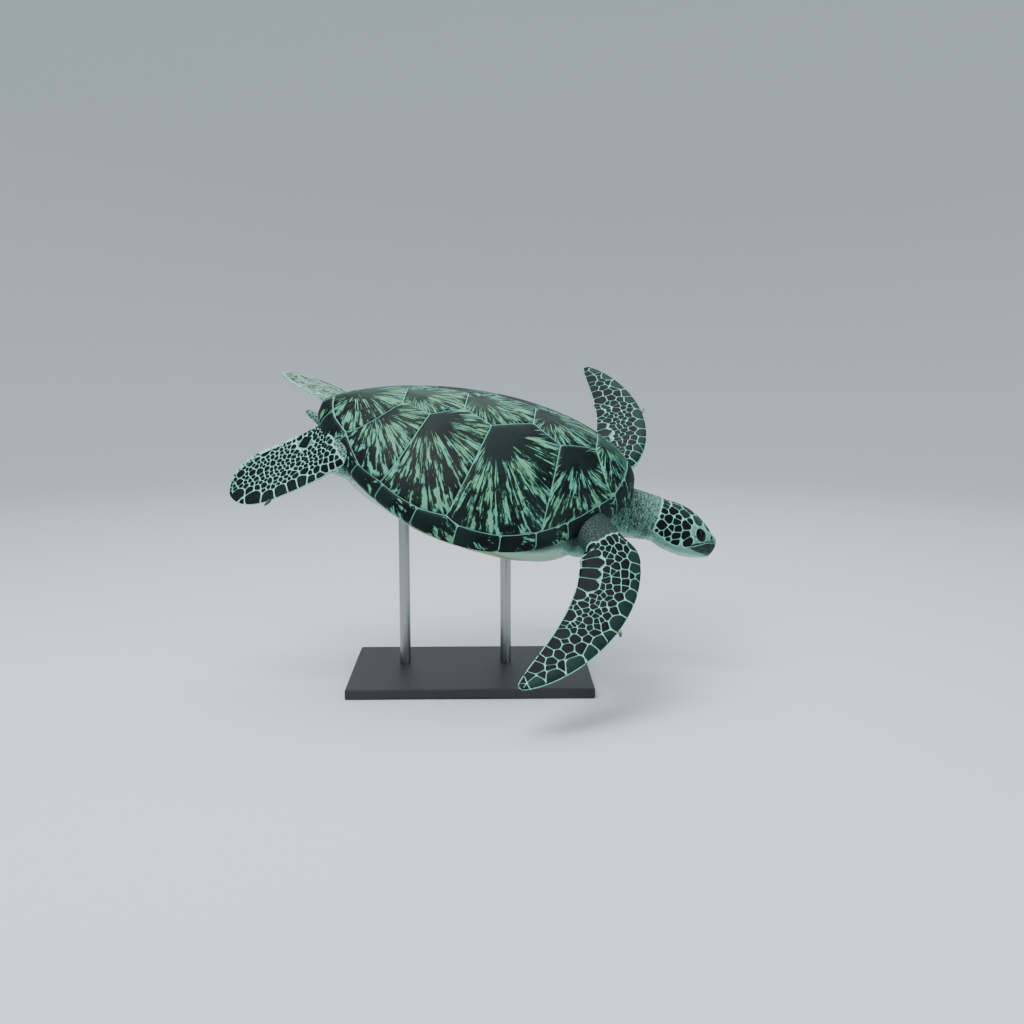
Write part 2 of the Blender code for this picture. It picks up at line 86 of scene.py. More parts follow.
class Value:
    # a socket that can be used in sums; each sum adds its Math node
    def __init__(self, finish, socket):
        self.finish, self.socket = finish, socket

    def math(self, kind, first, second=None, third=None):
        values = [part for part in (first, second, third) if part is not None]
        return self.finish.node("Math", {"operation": kind}, values)

    def __add__(self, other): return self.math("ADD", self, other)
    def __radd__(self, other): return self.math("ADD", other, self)
    def __sub__(self, other): return self.math("SUBTRACT", self, other)
    def __rsub__(self, other): return self.math("SUBTRACT", other, self)
    def __mul__(self, other): return self.math("MULTIPLY", self, other)
    def __rmul__(self, other): return self.math("MULTIPLY", other, self)
    def __truediv__(self, other): return self.math("DIVIDE", self, other)
    def __pow__(self, other): return self.math("POWER", self, other)
    def least(self, other): return self.math("MINIMUM", self, other)
    def most(self, other): return self.math("MAXIMUM", self, other)
    def sine(self): return self.math("SINE", self)

    def ramp(self, low, high):
        settings = {"interpolation_type": "SMOOTHSTEP"}
        return self.finish.node("MapRange", settings, {"Value": self, "From Min": low, "From Max": high})


class Finish:
    def __init__(self, name, roughness=0.5, **constants):
        self.material = bpy.data.materials.new(name)
        self.material.use_nodes = True
        self.tree = self.material.node_tree
        self.shader = self.tree.nodes["Principled BSDF"]
        self.shader.inputs["Roughness"].default_value = roughness
        for socket, value in constants.items():
            self.shader.inputs[socket.replace("_", " ")].default_value = value

    def put(self, socket, value):
        if isinstance(value, Value):
            self.tree.links.new(value.socket, socket)
        elif isinstance(value, tuple) and len(value) == 3 and socket.type == "RGBA":
            socket.default_value = (*value, 1)
        else:
            socket.default_value = value

    def node(self, kind, settings=None, values=(), out=0):
        made = self.tree.nodes.new("ShaderNode" + kind)
        for name, setting in (settings or {}).items():
            setattr(made, name, setting)
        pairs = values.items() if isinstance(values, dict) else enumerate(values)
        for key, value in pairs:
            self.put(made.inputs[key], value)
        return Value(self, made.outputs[out])

    def coords(self):
        return self.node("TexCoord", out="Object")

    def attribute(self, name, out="Fac"):
        return self.node("Attribute", {"attribute_name": name}, out=out)

    def noise(self, where, scale, detail=2.0, rough=0.5, warp=0.0):
        return self.node("TexNoise", {}, {"Vector": where, "Scale": scale, "Detail": detail,
                                          "Roughness": rough, "Distortion": warp}, out="Fac")

    def cells(self, where, scale, feature="F1"):
        return self.node("TexVoronoi", {"feature": feature}, {"Vector": where, "Scale": scale}, out="Distance")

    def stretch(self, where, scale):
        return self.node("Mapping", {"vector_type": "POINT"}, {"Vector": where, "Scale": scale})

    def split(self, vector):
        made = self.tree.nodes.new("ShaderNodeSeparateXYZ")
        self.put(made.inputs[0], vector)
        return [Value(self, socket) for socket in made.outputs]

    def blend(self, factor, first, second):
        made = self.tree.nodes.new("ShaderNodeMix")
        made.data_type = "RGBA"
        for socket, value in ((made.inputs["Factor"], factor), (made.inputs[6], first), (made.inputs[7], second)):
            self.put(socket, value)
        return Value(self, made.outputs[2])

    def bump(self, height, strength, distance):
        return self.node("Bump", {}, {"Strength": strength, "Distance": distance, "Height": height})

    def wear(self, **sockets):
        for name, value in sockets.items():
            self.put(self.shader.inputs[name.replace("_", " ")], value)
        return self.material


# ---- mesh helpers ----

def addPiece(name, points, faces, finish, attributes=None, uv=None, smooth=180):
    mesh = bpy.data.meshes.new(name)
    mesh.from_pydata([tuple(p) for p in points], [], [tuple(f) for f in faces])
    mesh.materials.append(finish)
    for key, values in (attributes or {}).items():
        kind = "FLOAT_VECTOR" if np.ndim(values) == 2 else "FLOAT"
        layer = mesh.attributes.new(key, kind, "POINT")
        layer.data.foreach_set("vector" if np.ndim(values) == 2 else "value", np.asarray(values, float).ravel())
    if uv is not None:
        layer = mesh.uv_layers.new(name="OFBake")
        corners = np.zeros(len(mesh.loops), int)
        mesh.loops.foreach_get("vertex_index", corners)
        layer.data.foreach_set("uv", np.asarray(uv, float)[corners].ravel())
    mesh.validate()
    piece = bpy.data.objects.new(name, mesh)
    bpy.context.scene.collection.objects.link(piece)
    mesh.shade_smooth()
    if smooth < 180:
        mesh.set_sharp_from_angle(angle=math.radians(smooth))
    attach(piece, "root")
    return piece


def deselect():
    for other in list(bpy.context.selected_objects):
        other.select_set(False)


def ballGrid(around, rings):
    # unit points and faces of a ball with its poles on x
    polar = np.linspace(0, math.pi, rings + 1)[1:-1]
    turn = np.arange(around) * 2 * math.pi / around
    t, a = np.meshgrid(polar, turn, indexing="ij")
    points = np.stack([-np.cos(t), np.sin(t) * np.cos(a), np.sin(t) * np.sin(a)], -1).reshape(-1, 3)
    points = np.vstack([points, [[-1, 0, 0], [1, 0, 0]]])
    faces = []
    for ring in range(rings - 2):
        for spot in range(around):
            ahead = (spot + 1) % around
            low = ring * around
            faces.append((low + spot, low + ahead, low + around + ahead, low + around + spot))
    first, last = len(points) - 2, len(points) - 1
    base = (rings - 2) * around
    for spot in range(around):
        ahead = (spot + 1) % around
        faces.append((first, ahead, spot))
        faces.append((last, base + spot, base + ahead))
    return points, faces


def normalsOf(surface, where, small=0.0005):
    # unit normals of a surface(where) that takes flat places in metres
    alongU = surface(where + [small, 0]) - surface(where - [small, 0])
    alongV = surface(where + [0, small]) - surface(where - [0, small])
    normals = np.cross(alongU, alongV)
    return normals / np.maximum(np.linalg.norm(normals, axis=1, keepdims=True), 1e-12)


def paint(red, green, blue):
    # a colour as it looks on screen, 0 to 255, made linear
    parts = [part / 255 for part in (red, green, blue)]
    return tuple(part / 12.92 if part < 0.04045 else ((part + 0.055) / 1.055) ** 2.4 for part in parts)


# ---- the shell's form ----

shell = {"length": 0.80, "halfWidth": 0.3208, "outlineLean": 0.915, "outlineFullness": 0.647,
         "ridgeEnd": 0.0728, "ridgeCrown": 0.1384, "ridgeLean": 0.694, "ridgeFullness": 0.577,
         "domeRound": 1.67, "domeSteep": 0.76, "frontRise": 0.08, "rearRise": 0.048, "rim": 0.010,
         "bed": 0.0022,            # how far the bed of the plates lies below the finished surface
         "arcWidth": 0.33}


def halfWidth(s):
    arch = np.maximum(np.sin(math.pi * np.clip(s, 0, 1) ** shell["outlineLean"]), 0)
    return shell["halfWidth"] * arch ** shell["outlineFullness"]


def rimHeight(s):
    return shell["frontRise"] * np.maximum(1 - 2 * s, 0) ** 2 + shell["rearRise"] * np.maximum(2 * s - 1, 0) ** 2


def shellTop(x, y):
    s = np.clip(0.5 - x / shell["length"], 0, 1)
    arch = np.maximum(np.sin(math.pi * s ** shell["ridgeLean"]), 0) ** shell["ridgeFullness"]
    ridge = shell["ridgeEnd"] + shell["ridgeCrown"] * arch
    edge = np.minimum(np.abs(y) / np.maximum(halfWidth(s), 1e-6), 1)
    rise = np.maximum(1 - edge ** shell["domeRound"], 0) ** shell["domeSteep"]
    return rimHeight(s) + (ridge - rimHeight(s)) * rise


def domeSurface(where):
    # x and the arc from the ridge, positive to the right
    x, arc = where[:, 0], where[:, 1] / shell["arcWidth"]
    y = -halfWidth(0.5 - x / shell["length"]) * np.sin(np.clip(arc, -math.pi / 2, math.pi / 2))
    return np.stack([x, y, shellTop(x, y)], 1)


def domePlace(s, psi):
    return np.array([(0.5 - s) * shell["length"], psi * shell["arcWidth"]])


# Where the plates meet, as shares of the length and turns from the ridge
spineSeams = [(0.158, 0.052), (0.362, 0.054), (0.572, 0.054), (0.755, 0.049)]       # share, half width
spineCorners = [(0.268, 0.101), (0.481, 0.103), (0.666, 0.092)]
ribFeet = [(0.263, 1.205), (0.54, 1.160), (0.749, 1.165)]
frontCorner, rearCorner = (0.073, 0.86), (0.892, 0.818)
brimPlaces = [frontCorner, (0.119, 0.98), (0.204, 1.148), ribFeet[0], (0.374, 1.258), (0.507, 1.225), ribFeet[1],
              (0.615, 1.209), (0.70, 1.200), ribFeet[2], (0.821, 1.170), rearCorner, (0.942, 0.647)]


def spinePlace(s, halfSpan):
    psi = math.asin(min(halfSpan * shell["length"] / halfWidth(s), 1))
    return domePlace(s, psi)


def outlinePlace(angle, reach=1.0):
    x = 0.4 * np.cos(angle)
    y = halfWidth(0.5 - 0.5 * np.cos(angle)) * np.sign(np.sin(angle))
    return reach * x, reach * y


def polarOf(s, psi):
    # the turn and reach of a place on the dome, measured from the middle of the shell
    x, y = (0.5 - s) * shell["length"], halfWidth(s) * math.sin(psi)
    angles = np.linspace(0.001, math.pi - 0.001, 4000)
    edgeX, edgeY = outlinePlace(angles)
    near = np.argmin(np.abs(np.arctan2(edgeY, edgeX) - math.atan2(y, x)))
    return angles[near], math.hypot(x, y) / math.hypot(edgeX[near], edgeY[near])


brim = [(0.0, 0.905)] + [polarOf(*place) for place in brimPlaces] + [(math.pi, 0.925)]
brimTurns, brimReaches = np.array(brim).T


def brimReach(angle):
    # where the rib plates end and the rim plates start
    return np.interp(np.abs(angle), brimTurns, brimReaches)


def domeOfPolar(angle, reach):
    x, y = outlinePlace(angle, reach)
    psi = np.arcsin(np.clip(y / np.maximum(halfWidth(0.5 - x / shell["length"]), 1e-6), -1, 1))
    return np.stack([x, psi * shell["arcWidth"]], -1)


def outlineTable():
    angles = np.linspace(0, math.pi, 1500)
    x, y = outlinePlace(angles, 0.97)
    gone = np.concatenate([[0], np.cumsum(np.hypot(np.diff(x), np.diff(y)))])
    return angles, gone


rimAngles, rimRun = outlineTable()


def rimSurface(side):
    def surface(where):
        angle = np.interp(where[:, 0], rimRun, rimAngles)
        down = where[:, 1] / 0.028
        inner = brimReach(angle)
        reach = np.where(down < 1, inner + (1 - inner) * down, 1 - 0.015 * np.clip((down - 1) / 0.35, 0, 1))
        reach = reach - 0.10 * np.maximum(down - 1.35, 0)
        x, y = outlinePlace(angle, reach)
        low = rimHeight(0.5 - x / shell["length"]) - shell["rim"] * np.clip((down - 1) / 0.35, 0, 1)
        z = np.where(down < 1, shellTop(x, y), low)
        return np.stack([x, -side * y, z], 1)
    return surface


# ---- plates laid on a surface ----

def resample(loop, spacing):
    loop = np.asarray(loop, float)
    points = []
    for here, ahead in zip(loop, np.roll(loop, -1, 0)):
        count = max(int(round(np.linalg.norm(ahead - here) / spacing)), 1)
        for part in range(count):
            points.append(here + (ahead - here) * part / count)
    return np.array(points)


def rounded(loop, rounds, cut=0.22):
    for turn in range(rounds):
        ahead = np.roll(loop, -1, 0)
        loop = np.stack([loop * (1 - cut) + ahead * cut, loop * cut + ahead * (1 - cut)], 1).reshape(-1, 2)
    return loop


def loopArea(loop):
    ahead = np.roll(loop, -1, 0)
    return 0.5 * np.sum(loop[:, 0] * ahead[:, 1] - ahead[:, 0] * loop[:, 1])


def narrowed(loop, amount):
    # moves a loop inwards
    along = np.roll(loop, -1, 0) - np.roll(loop, 1, 0)
    along /= np.maximum(np.linalg.norm(along, axis=1, keepdims=True), 1e-9)
    return loop + np.stack([-along[:, 1], along[:, 0]], 1) * amount


def toLoop(points, loop):
    # distance from points to a closed line
    best = np.full(len(points), 1e9)
    for here, ahead in zip(loop, np.roll(loop, -1, 0)):
        along = ahead - here
        part = np.clip((points - here) @ along / max(along @ along, 1e-12), 0, 1)
        best = np.minimum(best, np.linalg.norm(points - here - part[:, None] * along, axis=1))
    return best


def insideLoop(points, loop):
    inside = np.zeros(len(points), bool)
    for here, ahead in zip(loop, np.roll(loop, -1, 0)):
        crosses = (here[1] > points[:, 1]) != (ahead[1] > points[:, 1])
        slope = (ahead[0] - here[0]) / (ahead[1] - here[1] if ahead[1] != here[1] else 1e-12)
        inside ^= crosses & (points[:, 0] < here[0] + slope * (points[:, 1] - here[1]))
    return inside


class PlateSet:
    # gathers plates into one mesh
    def __init__(self):
        self.points, self.faces, self.values, self.count = [], [], {}, 0

    def add(self, points, faces, **values):
        self.faces += [[corner + self.count for corner in face] for face in faces]
        self.points.append(points)
        for key, value in values.items():
            shape = (len(points), 3) if np.ndim(value) == 2 or (np.ndim(value) == 1 and len(value) == 3) else len(points)
            self.values.setdefault(key, []).append(np.broadcast_to(value, shape))
        self.count += len(points)

    def piece(self, name, slotName, finish, smooth=180, uvKey=None):
        points = toWorld(np.vstack(self.points))
        values = {key: np.concatenate(parts) for key, parts in self.values.items()}
        uv = values.pop("place")[:, :2] if "place" in values else None
        return addPiece(name, points, self.faces, finish, values, uv, smooth)


def layPlate(into, surface, loop, centre, number, side, spacing, gap, lift, sink, roundness, flip):
    # one plate: a domed top over a flat underside, with streaks that spread from its growth centre
    loop = resample(loop, spacing)
    if loopArea(loop) < 0:
        loop = loop[::-1]
    edge = narrowed(loop, gap)
    low, high = edge.min(0), edge.max(0)
    rows = np.arange(low[1], high[1], spacing * 0.87)
    grid = [(x + (spacing / 2 if row % 2 else 0), y) for row, y in enumerate(rows)
            for x in np.arange(low[0], high[0] + spacing, spacing)]
    grid = np.array(grid)
    grid = grid[insideLoop(grid, edge)]
    away = toLoop(grid, edge)
    grid, away = grid[away > spacing * 0.55], away[away > spacing * 0.55]
    flat = np.vstack([edge, grid])
    ring = len(edge)
    cut = geometry.delaunay_2d_cdt([Vector(p) for p in flat], [(n, (n + 1) % ring) for n in range(ring)],
                                   [], 1, 1e-7)
    flat = np.array([tuple(p) for p in cut[0]])
    faces = [list(face) for face in cut[2]]
    away = toLoop(flat, edge)
    base = surface(flat)
    normal = normalsOf(surface, flat)
    if flip:
        normal = -normal
    near = np.clip(away / roundness, 0, 1)
    height = lift * (-0.25 + 1.25 * np.sqrt(np.maximum(1 - (1 - near) ** 2, 0)))
    top = base + normal * height[:, None]
    under = base - normal * sink
    count = len(flat)
    if loopArea(flat[faces[0]]) < 0:
        faces = [face[::-1] for face in faces]
    if flip:
        faces = [face[::-1] for face in faces]
    below = [[corner + count for corner in face[::-1]] for face in faces]
    rim = edges = {}
    for face in faces:
        for here, ahead in zip(face, face[1:] + face[:1]):
            rim[(here, ahead)] = True
    walls = [[ahead, here, here + count, ahead + count] for here, ahead in list(rim) if (ahead, here) not in rim]
    across = flat - centre
    reach = np.linalg.norm(across, axis=1) / math.sqrt(abs(loopArea(edge)))
    turn = np.arctan2(across[:, 1], across[:, 0])
    streak = np.stack([np.cos(turn), np.sin(turn), reach], 1)
    both = lambda part: np.concatenate([part, part])
    into.add(np.vstack([top, under]), faces + below + walls,
             streak=both(streak), away=both(away), number=float(number))


rimSeams = (0.055, 0.110, 0.170, 0.270, 0.353, 0.439, 0.543, 0.648, 0.753, 0.840, 0.927, 1.015, 1.0645)
shellPlates = {"spacing": 0.0058, "gap": 0.0007, "lift": 0.0009, "sink": 0.0042, "round": 0.0055}


def shellLoops():
    # every dome plate: its corners, its growth centre
    seams = [spinePlace(*place) for place in spineSeams]
    corners = [spinePlace(*place) for place in spineCorners]
    feet = [domePlace(*place) for place in ribFeet]
    front, rear = domePlace(*frontCorner), domePlace(*rearCorner)
    mirror = lambda place: np.array([place[0], -place[1]])
    frontTurn, rearTurn = polarOf(*frontCorner)[0], polarOf(*rearCorner)[0]
    frontEdge = [domeOfPolar(turn, brimReach(turn)) for turn in np.linspace(-frontTurn, frontTurn, 9)]
    frontEdge = [np.array(place) for place in frontEdge]
    rearEdge = []
    for turn in np.linspace(rearTurn, math.pi, 7):
        rearEdge.append(domeOfPolar(turn, brimReach(turn)))
    rearEdge += [mirror(place) for place in rearEdge[-2::-1]]
    loops = []
    loops.append((frontEdge + [seams[0], mirror(seams[0])], 0.78))
    for row in range(3):
        loops.append(([mirror(seams[row]), seams[row], corners[row], seams[row + 1], mirror(seams[row + 1]),
                       mirror(corners[row])], 0.80))
    loops.append(([mirror(seams[3]), seams[3]] + rearEdge, 0.70))
    spine = []
    for loop, back in loops:
        loop = np.array(loop)
        high, low = loop[:, 0].max(), loop[:, 0].min()
        spine.append((loop, np.array([high + (low - high) * back, 0.0])))

    def brimLine(start, end, count=14):
        first, last = polarOf(*start)[0], polarOf(*end)[0]
        return [domeOfPolar(turn, brimReach(turn)) for turn in np.linspace(first, last, count)]

    stops = [frontCorner, *ribFeet, rearCorner]
    tops = [front, *corners, rear]
    ribs = []
    for row in range(4):
        bottom = brimLine(stops[row], stops[row + 1])
        loop = [seams[row]] + ([corners[row]] if row < 3 else []) + bottom[::-1]
        if row > 0:
            loop = loop + [corners[row - 1]]
        loop = np.array(loop)
        top = loop[:, 1].min()
        middle = (loop[:, 0].max() + loop[:, 0].min()) / 2
        back = loop[:, 0].max() - loop[:, 0].min()
        centre = np.array([middle - 0.22 * back, top + 0.16 * (loop[:, 1].max() - top)])
        ribs.append((loop, centre))
    return spine, ribs


def buildShell(finishes):
    spine, ribs = shellLoops()
    common = (shellPlates["spacing"], shellPlates["gap"], shellPlates["lift"], shellPlates["sink"],
              shellPlates["round"])
    inset = lambda surface: (lambda where: surface(where) - normalsOf(surface, where) * 0.0)
    spineSet, ribSet, rimSet = PlateSet(), PlateSet(), PlateSet()
    lowered = lambda where: domeSurface(where) + [0, 0, -0.0010]
    for number, (loop, centre) in enumerate(spine):
        layPlate(spineSet, lowered, loop, centre, number, 1, *common, flip=True)
    for side in (1, -1):
        for number, (loop, centre) in enumerate(ribs):
            turned = loop * [1, side]
            layPlate(ribSet, lowered, turned, centre * [1, side], 10 + number + (20 if side < 0 else 0), side,
                     *common, flip=True)
    seams = rimSeams
    start = seams[0]
    deep = 0.028 * 1.6
    for side in (1, -1):
        surface = rimSurface(side)
        lowRim = lambda where: surface(where) + [0, 0, -0.0010]
        for number, (first, last) in enumerate(zip(seams[:-1], seams[1:])):
            loop = np.array([(first, 0.0), (last, 0.0), (last, deep), (first, deep)])
            centre = np.array([last - 0.15 * (last - first), 0.003])
            layPlate(rimSet, lowRim, loop, centre, 40 + number + (20 if side < 0 else 0), side,
                     0.0052, 0.0007, 0.0011, 0.0030, 0.005, flip=side < 0)
    # the plate over the neck
    def neckSurface(where):
        side = np.where(where[:, 0] < 0, -1.0, 1.0)
        right = rimSurface(1)(np.stack([np.abs(where[:, 0]), where[:, 1]], 1))
        return right * np.stack([np.ones(len(side)), side, np.ones(len(side))], 1) + [0, 0, -0.0010]
    loop = np.array([(-start, 0.0), (start, 0.0), (start, deep), (-start, deep)])
    layPlate(rimSet, neckSurface, loop, np.array([0.0, 0.004]), 39, 1, 0.0052, 0.0007, 0.0011, 0.0030, 0.005, flip=False)
    spineSet.piece("scutes_vertebral", "shell", finishes["spine"])
    ribSet.piece("scutes_costal", "shell", finishes["rib"])
    rimSet.piece("scutes_marginal", "shell", finishes["rim"])


def buildShellBed(finish):
    # the pale layer that shows in the seams
    rings, around = 60, 200
    reaches = 1 - (1 - np.linspace(0, 1, rings + 1)[1:]) ** 1.6
    turns = np.arange(around) * 2 * math.pi / around
    points = [[0, 0, shellTop(np.array(0.0), np.array(0.0))]]
    for reach in reaches:
        x, y = outlinePlace(turns, reach)
        points += np.stack([x, y, shellTop(x, y)], 1).tolist()
    lowReaches = [0.985, 0.90, 0.6, 0.3]
    for reach in lowReaches:
        x, y = outlinePlace(turns, reach)
        points += np.stack([x, y, rimHeight(0.5 - x / shell["length"]) - shell["rim"]], 1).tolist()
    points.append([0, 0, -shell["rim"]])
    faces = [[0, 1 + n, 1 + (n + 1) % around] for n in range(around)]
    loops = rings + len(lowReaches)
    for ring in range(loops - 1):
        low = 1 + ring * around
        for n in range(around):
            m = (n + 1) % around
            faces.append([low + n, low + around + n, low + around + m, low + m])
    last = 1 + (loops - 1) * around
    faces += [[len(points) - 1, last + (n + 1) % around, last + n] for n in range(around)]
    piece = addPiece("shell_bed", toWorld(points), faces, finish)
    shape = bmesh.new()
    shape.from_mesh(piece.data)
    bmesh.ops.recalc_face_normals(shape, faces=shape.faces)
    shape.normal_update()
    moves = [(vert, vert.normal * shell["bed"]) for vert in shape.verts]
    for vert, move in moves:
        vert.co -= move
    shape.to_mesh(piece.data)
    shape.free()
    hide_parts("carapace")
    return piece


# ---- the flippers' form ----

frontBlade = {"length": 0.468, "start": 18.1, "end": -65.6, "lean": 0.486, "halfChord": 0.0732, "widest": 0.084,
              "taper": 0.293, "tip": 0.629, "thick": 0.013, "arm": 0.031, "inward": 0.26, "ahead": 1}
rearBlade = {"length": 0.283, "start": 55.0, "end": 75.0, "lean": 1.05, "halfChord": 0.087, "widest": 0.62,
             "taper": 0.02, "tip": 0.49, "thick": 0.009, "arm": 0.026, "inward": 0.36, "ahead": -1}
limbs = {"flipper_front_right": (frontBlade, -1, (0.348, -0.229, 0.037), (17.0, -15.1, 17.7)),
         "flipper_front_left": (frontBlade, 1, (0.348, 0.229, 0.011), (16.9, -15.0, -26.2)),
         "flipper_rear_right": (rearBlade, -1, (-0.338, -0.098, 0.031), (26.5, -31.0, -9.8)),
         "flipper_rear_left": (rearBlade, 1, (-0.322, 0.100, 0.034), (-18.0, 1.0, -16.4))}


def turnMatrix(degrees):
    swing = Vector([math.radians(part) for part in degrees])
    return np.array(Matrix.Rotation(swing.length, 3, swing.normalized()))


def middleLine(blade, share):
    # place and heading on the middle line; it runs straight on inside the body
    table = np.linspace(0, 1, 600)
    start, end = math.radians(blade["start"]), math.radians(blade["end"])
    heading = start + (end - start) * table ** blade["lean"]
    stepLength = blade["length"] * (table[1] - table[0])
    sums = lambda part: np.concatenate([[0], np.cumsum((part[1:] + part[:-1]) / 2)]) * stepLength
    reach = np.clip(share, 0, 1)
    out = np.interp(reach, table, sums(np.cos(heading))) + np.minimum(share, 0) * blade["length"] * math.cos(start)
    along = np.interp(reach, table, sums(np.sin(heading))) + np.minimum(share, 0) * blade["length"] * math.sin(start)
    return out, along, start + (end - start) * reach ** blade["lean"]


def halfChord(blade, share):
    back = np.clip((blade["widest"] - share) / blade["widest"], 0, 1)
    on = np.clip((share - blade["widest"]) / (1 - blade["widest"]), 0, 1)
    return blade["halfChord"] * np.where(share < blade["widest"], 1 - blade["taper"] * back ** 2,
                                         np.maximum(1 - on ** 2, 0) ** blade["tip"])


def bladeThickness(blade, share, fore):
    past = np.maximum(share, 0)
    fat = blade["thick"] * (1 - 0.45 * past) * (0.35 + 0.9 * fore ** 0.8)
    fat = fat + (blade["arm"] - fat) * np.maximum(1 - past / 0.34, 0) ** 2
    return fat * np.sqrt(np.maximum(1 - past ** 8, 0))


def placeLimb(limb, out, along, lift):
    blade, side, root, turn = limb
    local = np.stack([blade["ahead"] * along, side * out, lift], 1)
    return local @ turnMatrix(turn).T + root


def limbSurface(limb, face):
    # metres along the middle line and across it, on the upper (1) or lower (-1) face
    blade = limb[0]

    def surface(where):
        share = where[:, 0] / blade["length"]
        half = np.maximum(halfChord(blade, share), 1e-5)
        across = np.clip(where[:, 1] / half, -1, 1)
        fore = (1 + blade["ahead"] * across) / 2
        out, along, heading = middleLine(blade, share)
        shift = across * half
        lift = face * np.sqrt(1 - across ** 2) * bladeThickness(blade, share, fore)
        return placeLimb(limb, out - np.sin(heading) * shift, along + np.cos(heading) * shift, lift)
    return surface


def limbBody(limb, around, rings, inset):
    blade = limb[0]
    unit, faces = ballGrid(around, rings)
    share = -blade["inward"] + (0.992 + blade["inward"]) * (0.5 + 0.5 * unit[:, 0])
    chord = np.hypot(unit[:, 1], unit[:, 2])
    turn = np.arctan2(unit[:, 2], unit[:, 1])
    closing = np.minimum(chord / 0.3, 1)
    half = halfChord(blade, share) * np.where(share > 0.5, 1, closing)
    half = np.maximum(half - inset, 0.4 * half)
    fore = (1 + blade["ahead"] * np.cos(turn)) / 2
    fat = bladeThickness(blade, share, fore) * closing
    fat = np.maximum(fat - inset, 0.35 * fat)
    out, along, heading = middleLine(blade, share)
    shift = half * np.cos(turn)
    points = placeLimb(limb, out - np.sin(heading) * shift, along + np.cos(heading) * shift, np.sin(turn) * fat)
    return points, faces, share, np.cos(turn) * blade["ahead"]


# ---- the head's form ----

head = {"base": (0.470, 0.0, 0.030), "pitch": 14.0, "roll": -12.0, "length": 0.183,
        "share": (0.00, 0.22, 0.42, 0.60, 0.76, 0.90, 1.00),
        "wide": (0.050, 0.058, 0.061, 0.055, 0.043, 0.029, 0.019),
        "top": (0.044, 0.052, 0.053, 0.047, 0.036, 0.025, 0.015),
        "bottom": (-0.056, -0.066, -0.066, -0.062, -0.053, -0.042, -0.030),
        "round": 0.86, "neckStart": (0.270, 0.0, 0.004), "neckEnd": (0.490, 0.0, 0.020),
        "neckRadii": (0.080, 0.057)}
headTurn = turnFrom(head["pitch"], head["roll"])


def headPlace(points):
    return np.asarray(points) @ headTurn.T + head["base"]


def eased(share, column):
    # a smooth curve through the stations
    at, values = np.array(head["share"]), np.array(head[column])
    last = len(at) - 1
    index = np.clip(np.searchsorted(at, share, side="right") - 1, 0, last - 1)
    before, after = np.maximum(index - 1, 0), np.minimum(index + 2, last)
    span = at[index + 1] - at[index]
    part = (share - at[index]) / span
    slopeLow = (values[index + 1] - values[before]) / (at[index + 1] - at[before]) * span
    slopeHigh = (values[after] - values[index]) / (at[after] - at[index]) * span
    square, cube = part ** 2, part ** 3
    return ((2 * cube - 3 * square + 1) * values[index] + (cube - 2 * square + part) * slopeLow
            + (3 * square - 2 * cube) * values[index + 1] + (cube - square) * slopeHigh)


def headShape(share, turn, closing=1.0):
    # turn runs from the crown, positive to the right
    share = np.clip(share, 0, 1)
    wide, top, bottom = (eased(share, column) for column in ("wide", "top", "bottom"))
    blunt = np.sqrt(np.maximum(1 - (np.maximum(share - 0.93, 0) / 0.07) ** 2, 0)) * closing
    shaped = lambda part: np.sign(part) * np.abs(part) ** head["round"]
    out = -wide * shaped(np.sin(turn)) * blunt
    up = (top + bottom) / 2 + (top - bottom) / 2 * shaped(np.cos(turn)) * blunt
    return np.stack([share * head["length"], out, up], -1)


headRadius = 0.056


def headSurface(where):
    return headPlace(headShape(where[:, 0] / head["length"], where[:, 1] / headRadius))


def mouthHeight(share):
    # the mouth line climbs from its corner below the eye and dips at the tip of the beak
    return -0.019 + 0.032 * step(0.50, 0.88, share) - 0.012 * step(0.92, 1.0, share)


def mouthTurn(share):
    # where the mouth line crosses each ring of the head
    top, bottom = eased(share, "top"), eased(share, "bottom")
    blunt = np.sqrt(np.maximum(1 - (np.maximum(share - 0.93, 0) / 0.07) ** 2, 0.02))
    height = mouthHeight(share)
    rise = np.clip((height - (top + bottom) / 2) / ((top - bottom) / 2 * blunt), -0.99, 0.99)
    return math.pi / 2 - np.arcsin(np.sign(rise) * np.abs(rise) ** (1 / head["round"]))


def rodBody(start, end, radii, squash, around, rings, inset):
    unit, faces = ballGrid(around, rings)
    share = 0.5 + 0.5 * unit[:, 0]
    turn = np.arctan2(unit[:, 2], unit[:, 1])
    closing = np.minimum(np.hypot(unit[:, 1], unit[:, 2]) / 0.4, 1)
    radius = np.maximum((radii[0] + (radii[1] - radii[0]) * share) * closing - inset * closing, 0)
    points = np.array(start) + (np.array(end) - start) * share[:, None]
    points = points + np.stack([0 * radius, radius * np.cos(turn), radius * squash * np.sin(turn)], 1)
    return points, faces


# ---- the belly's form ----

under = {"depth": 0.108, "breast": 0.062, "halfWidth": 0.93, "round": 3.4, "middle": -0.012, "length": 0.63,
         "lobe": 0.142, "bridge": 0.098, "thickness": 0.012, "sunk": 0.004}


def belly(x, y):
    s = 0.5 - x / shell["length"]
    edge = np.minimum(np.abs(y) / np.maximum(under["halfWidth"] * halfWidth(s), 1e-6), 1)
    lengthways = np.maximum(1 - np.abs(x / 0.4) ** 7, 0)
    depth = under["depth"] + under["breast"] * np.exp(-((x - 0.27) / 0.15) ** 2)
    return rimHeight(s) - depth * lengthways * (1 - edge ** under["round"])


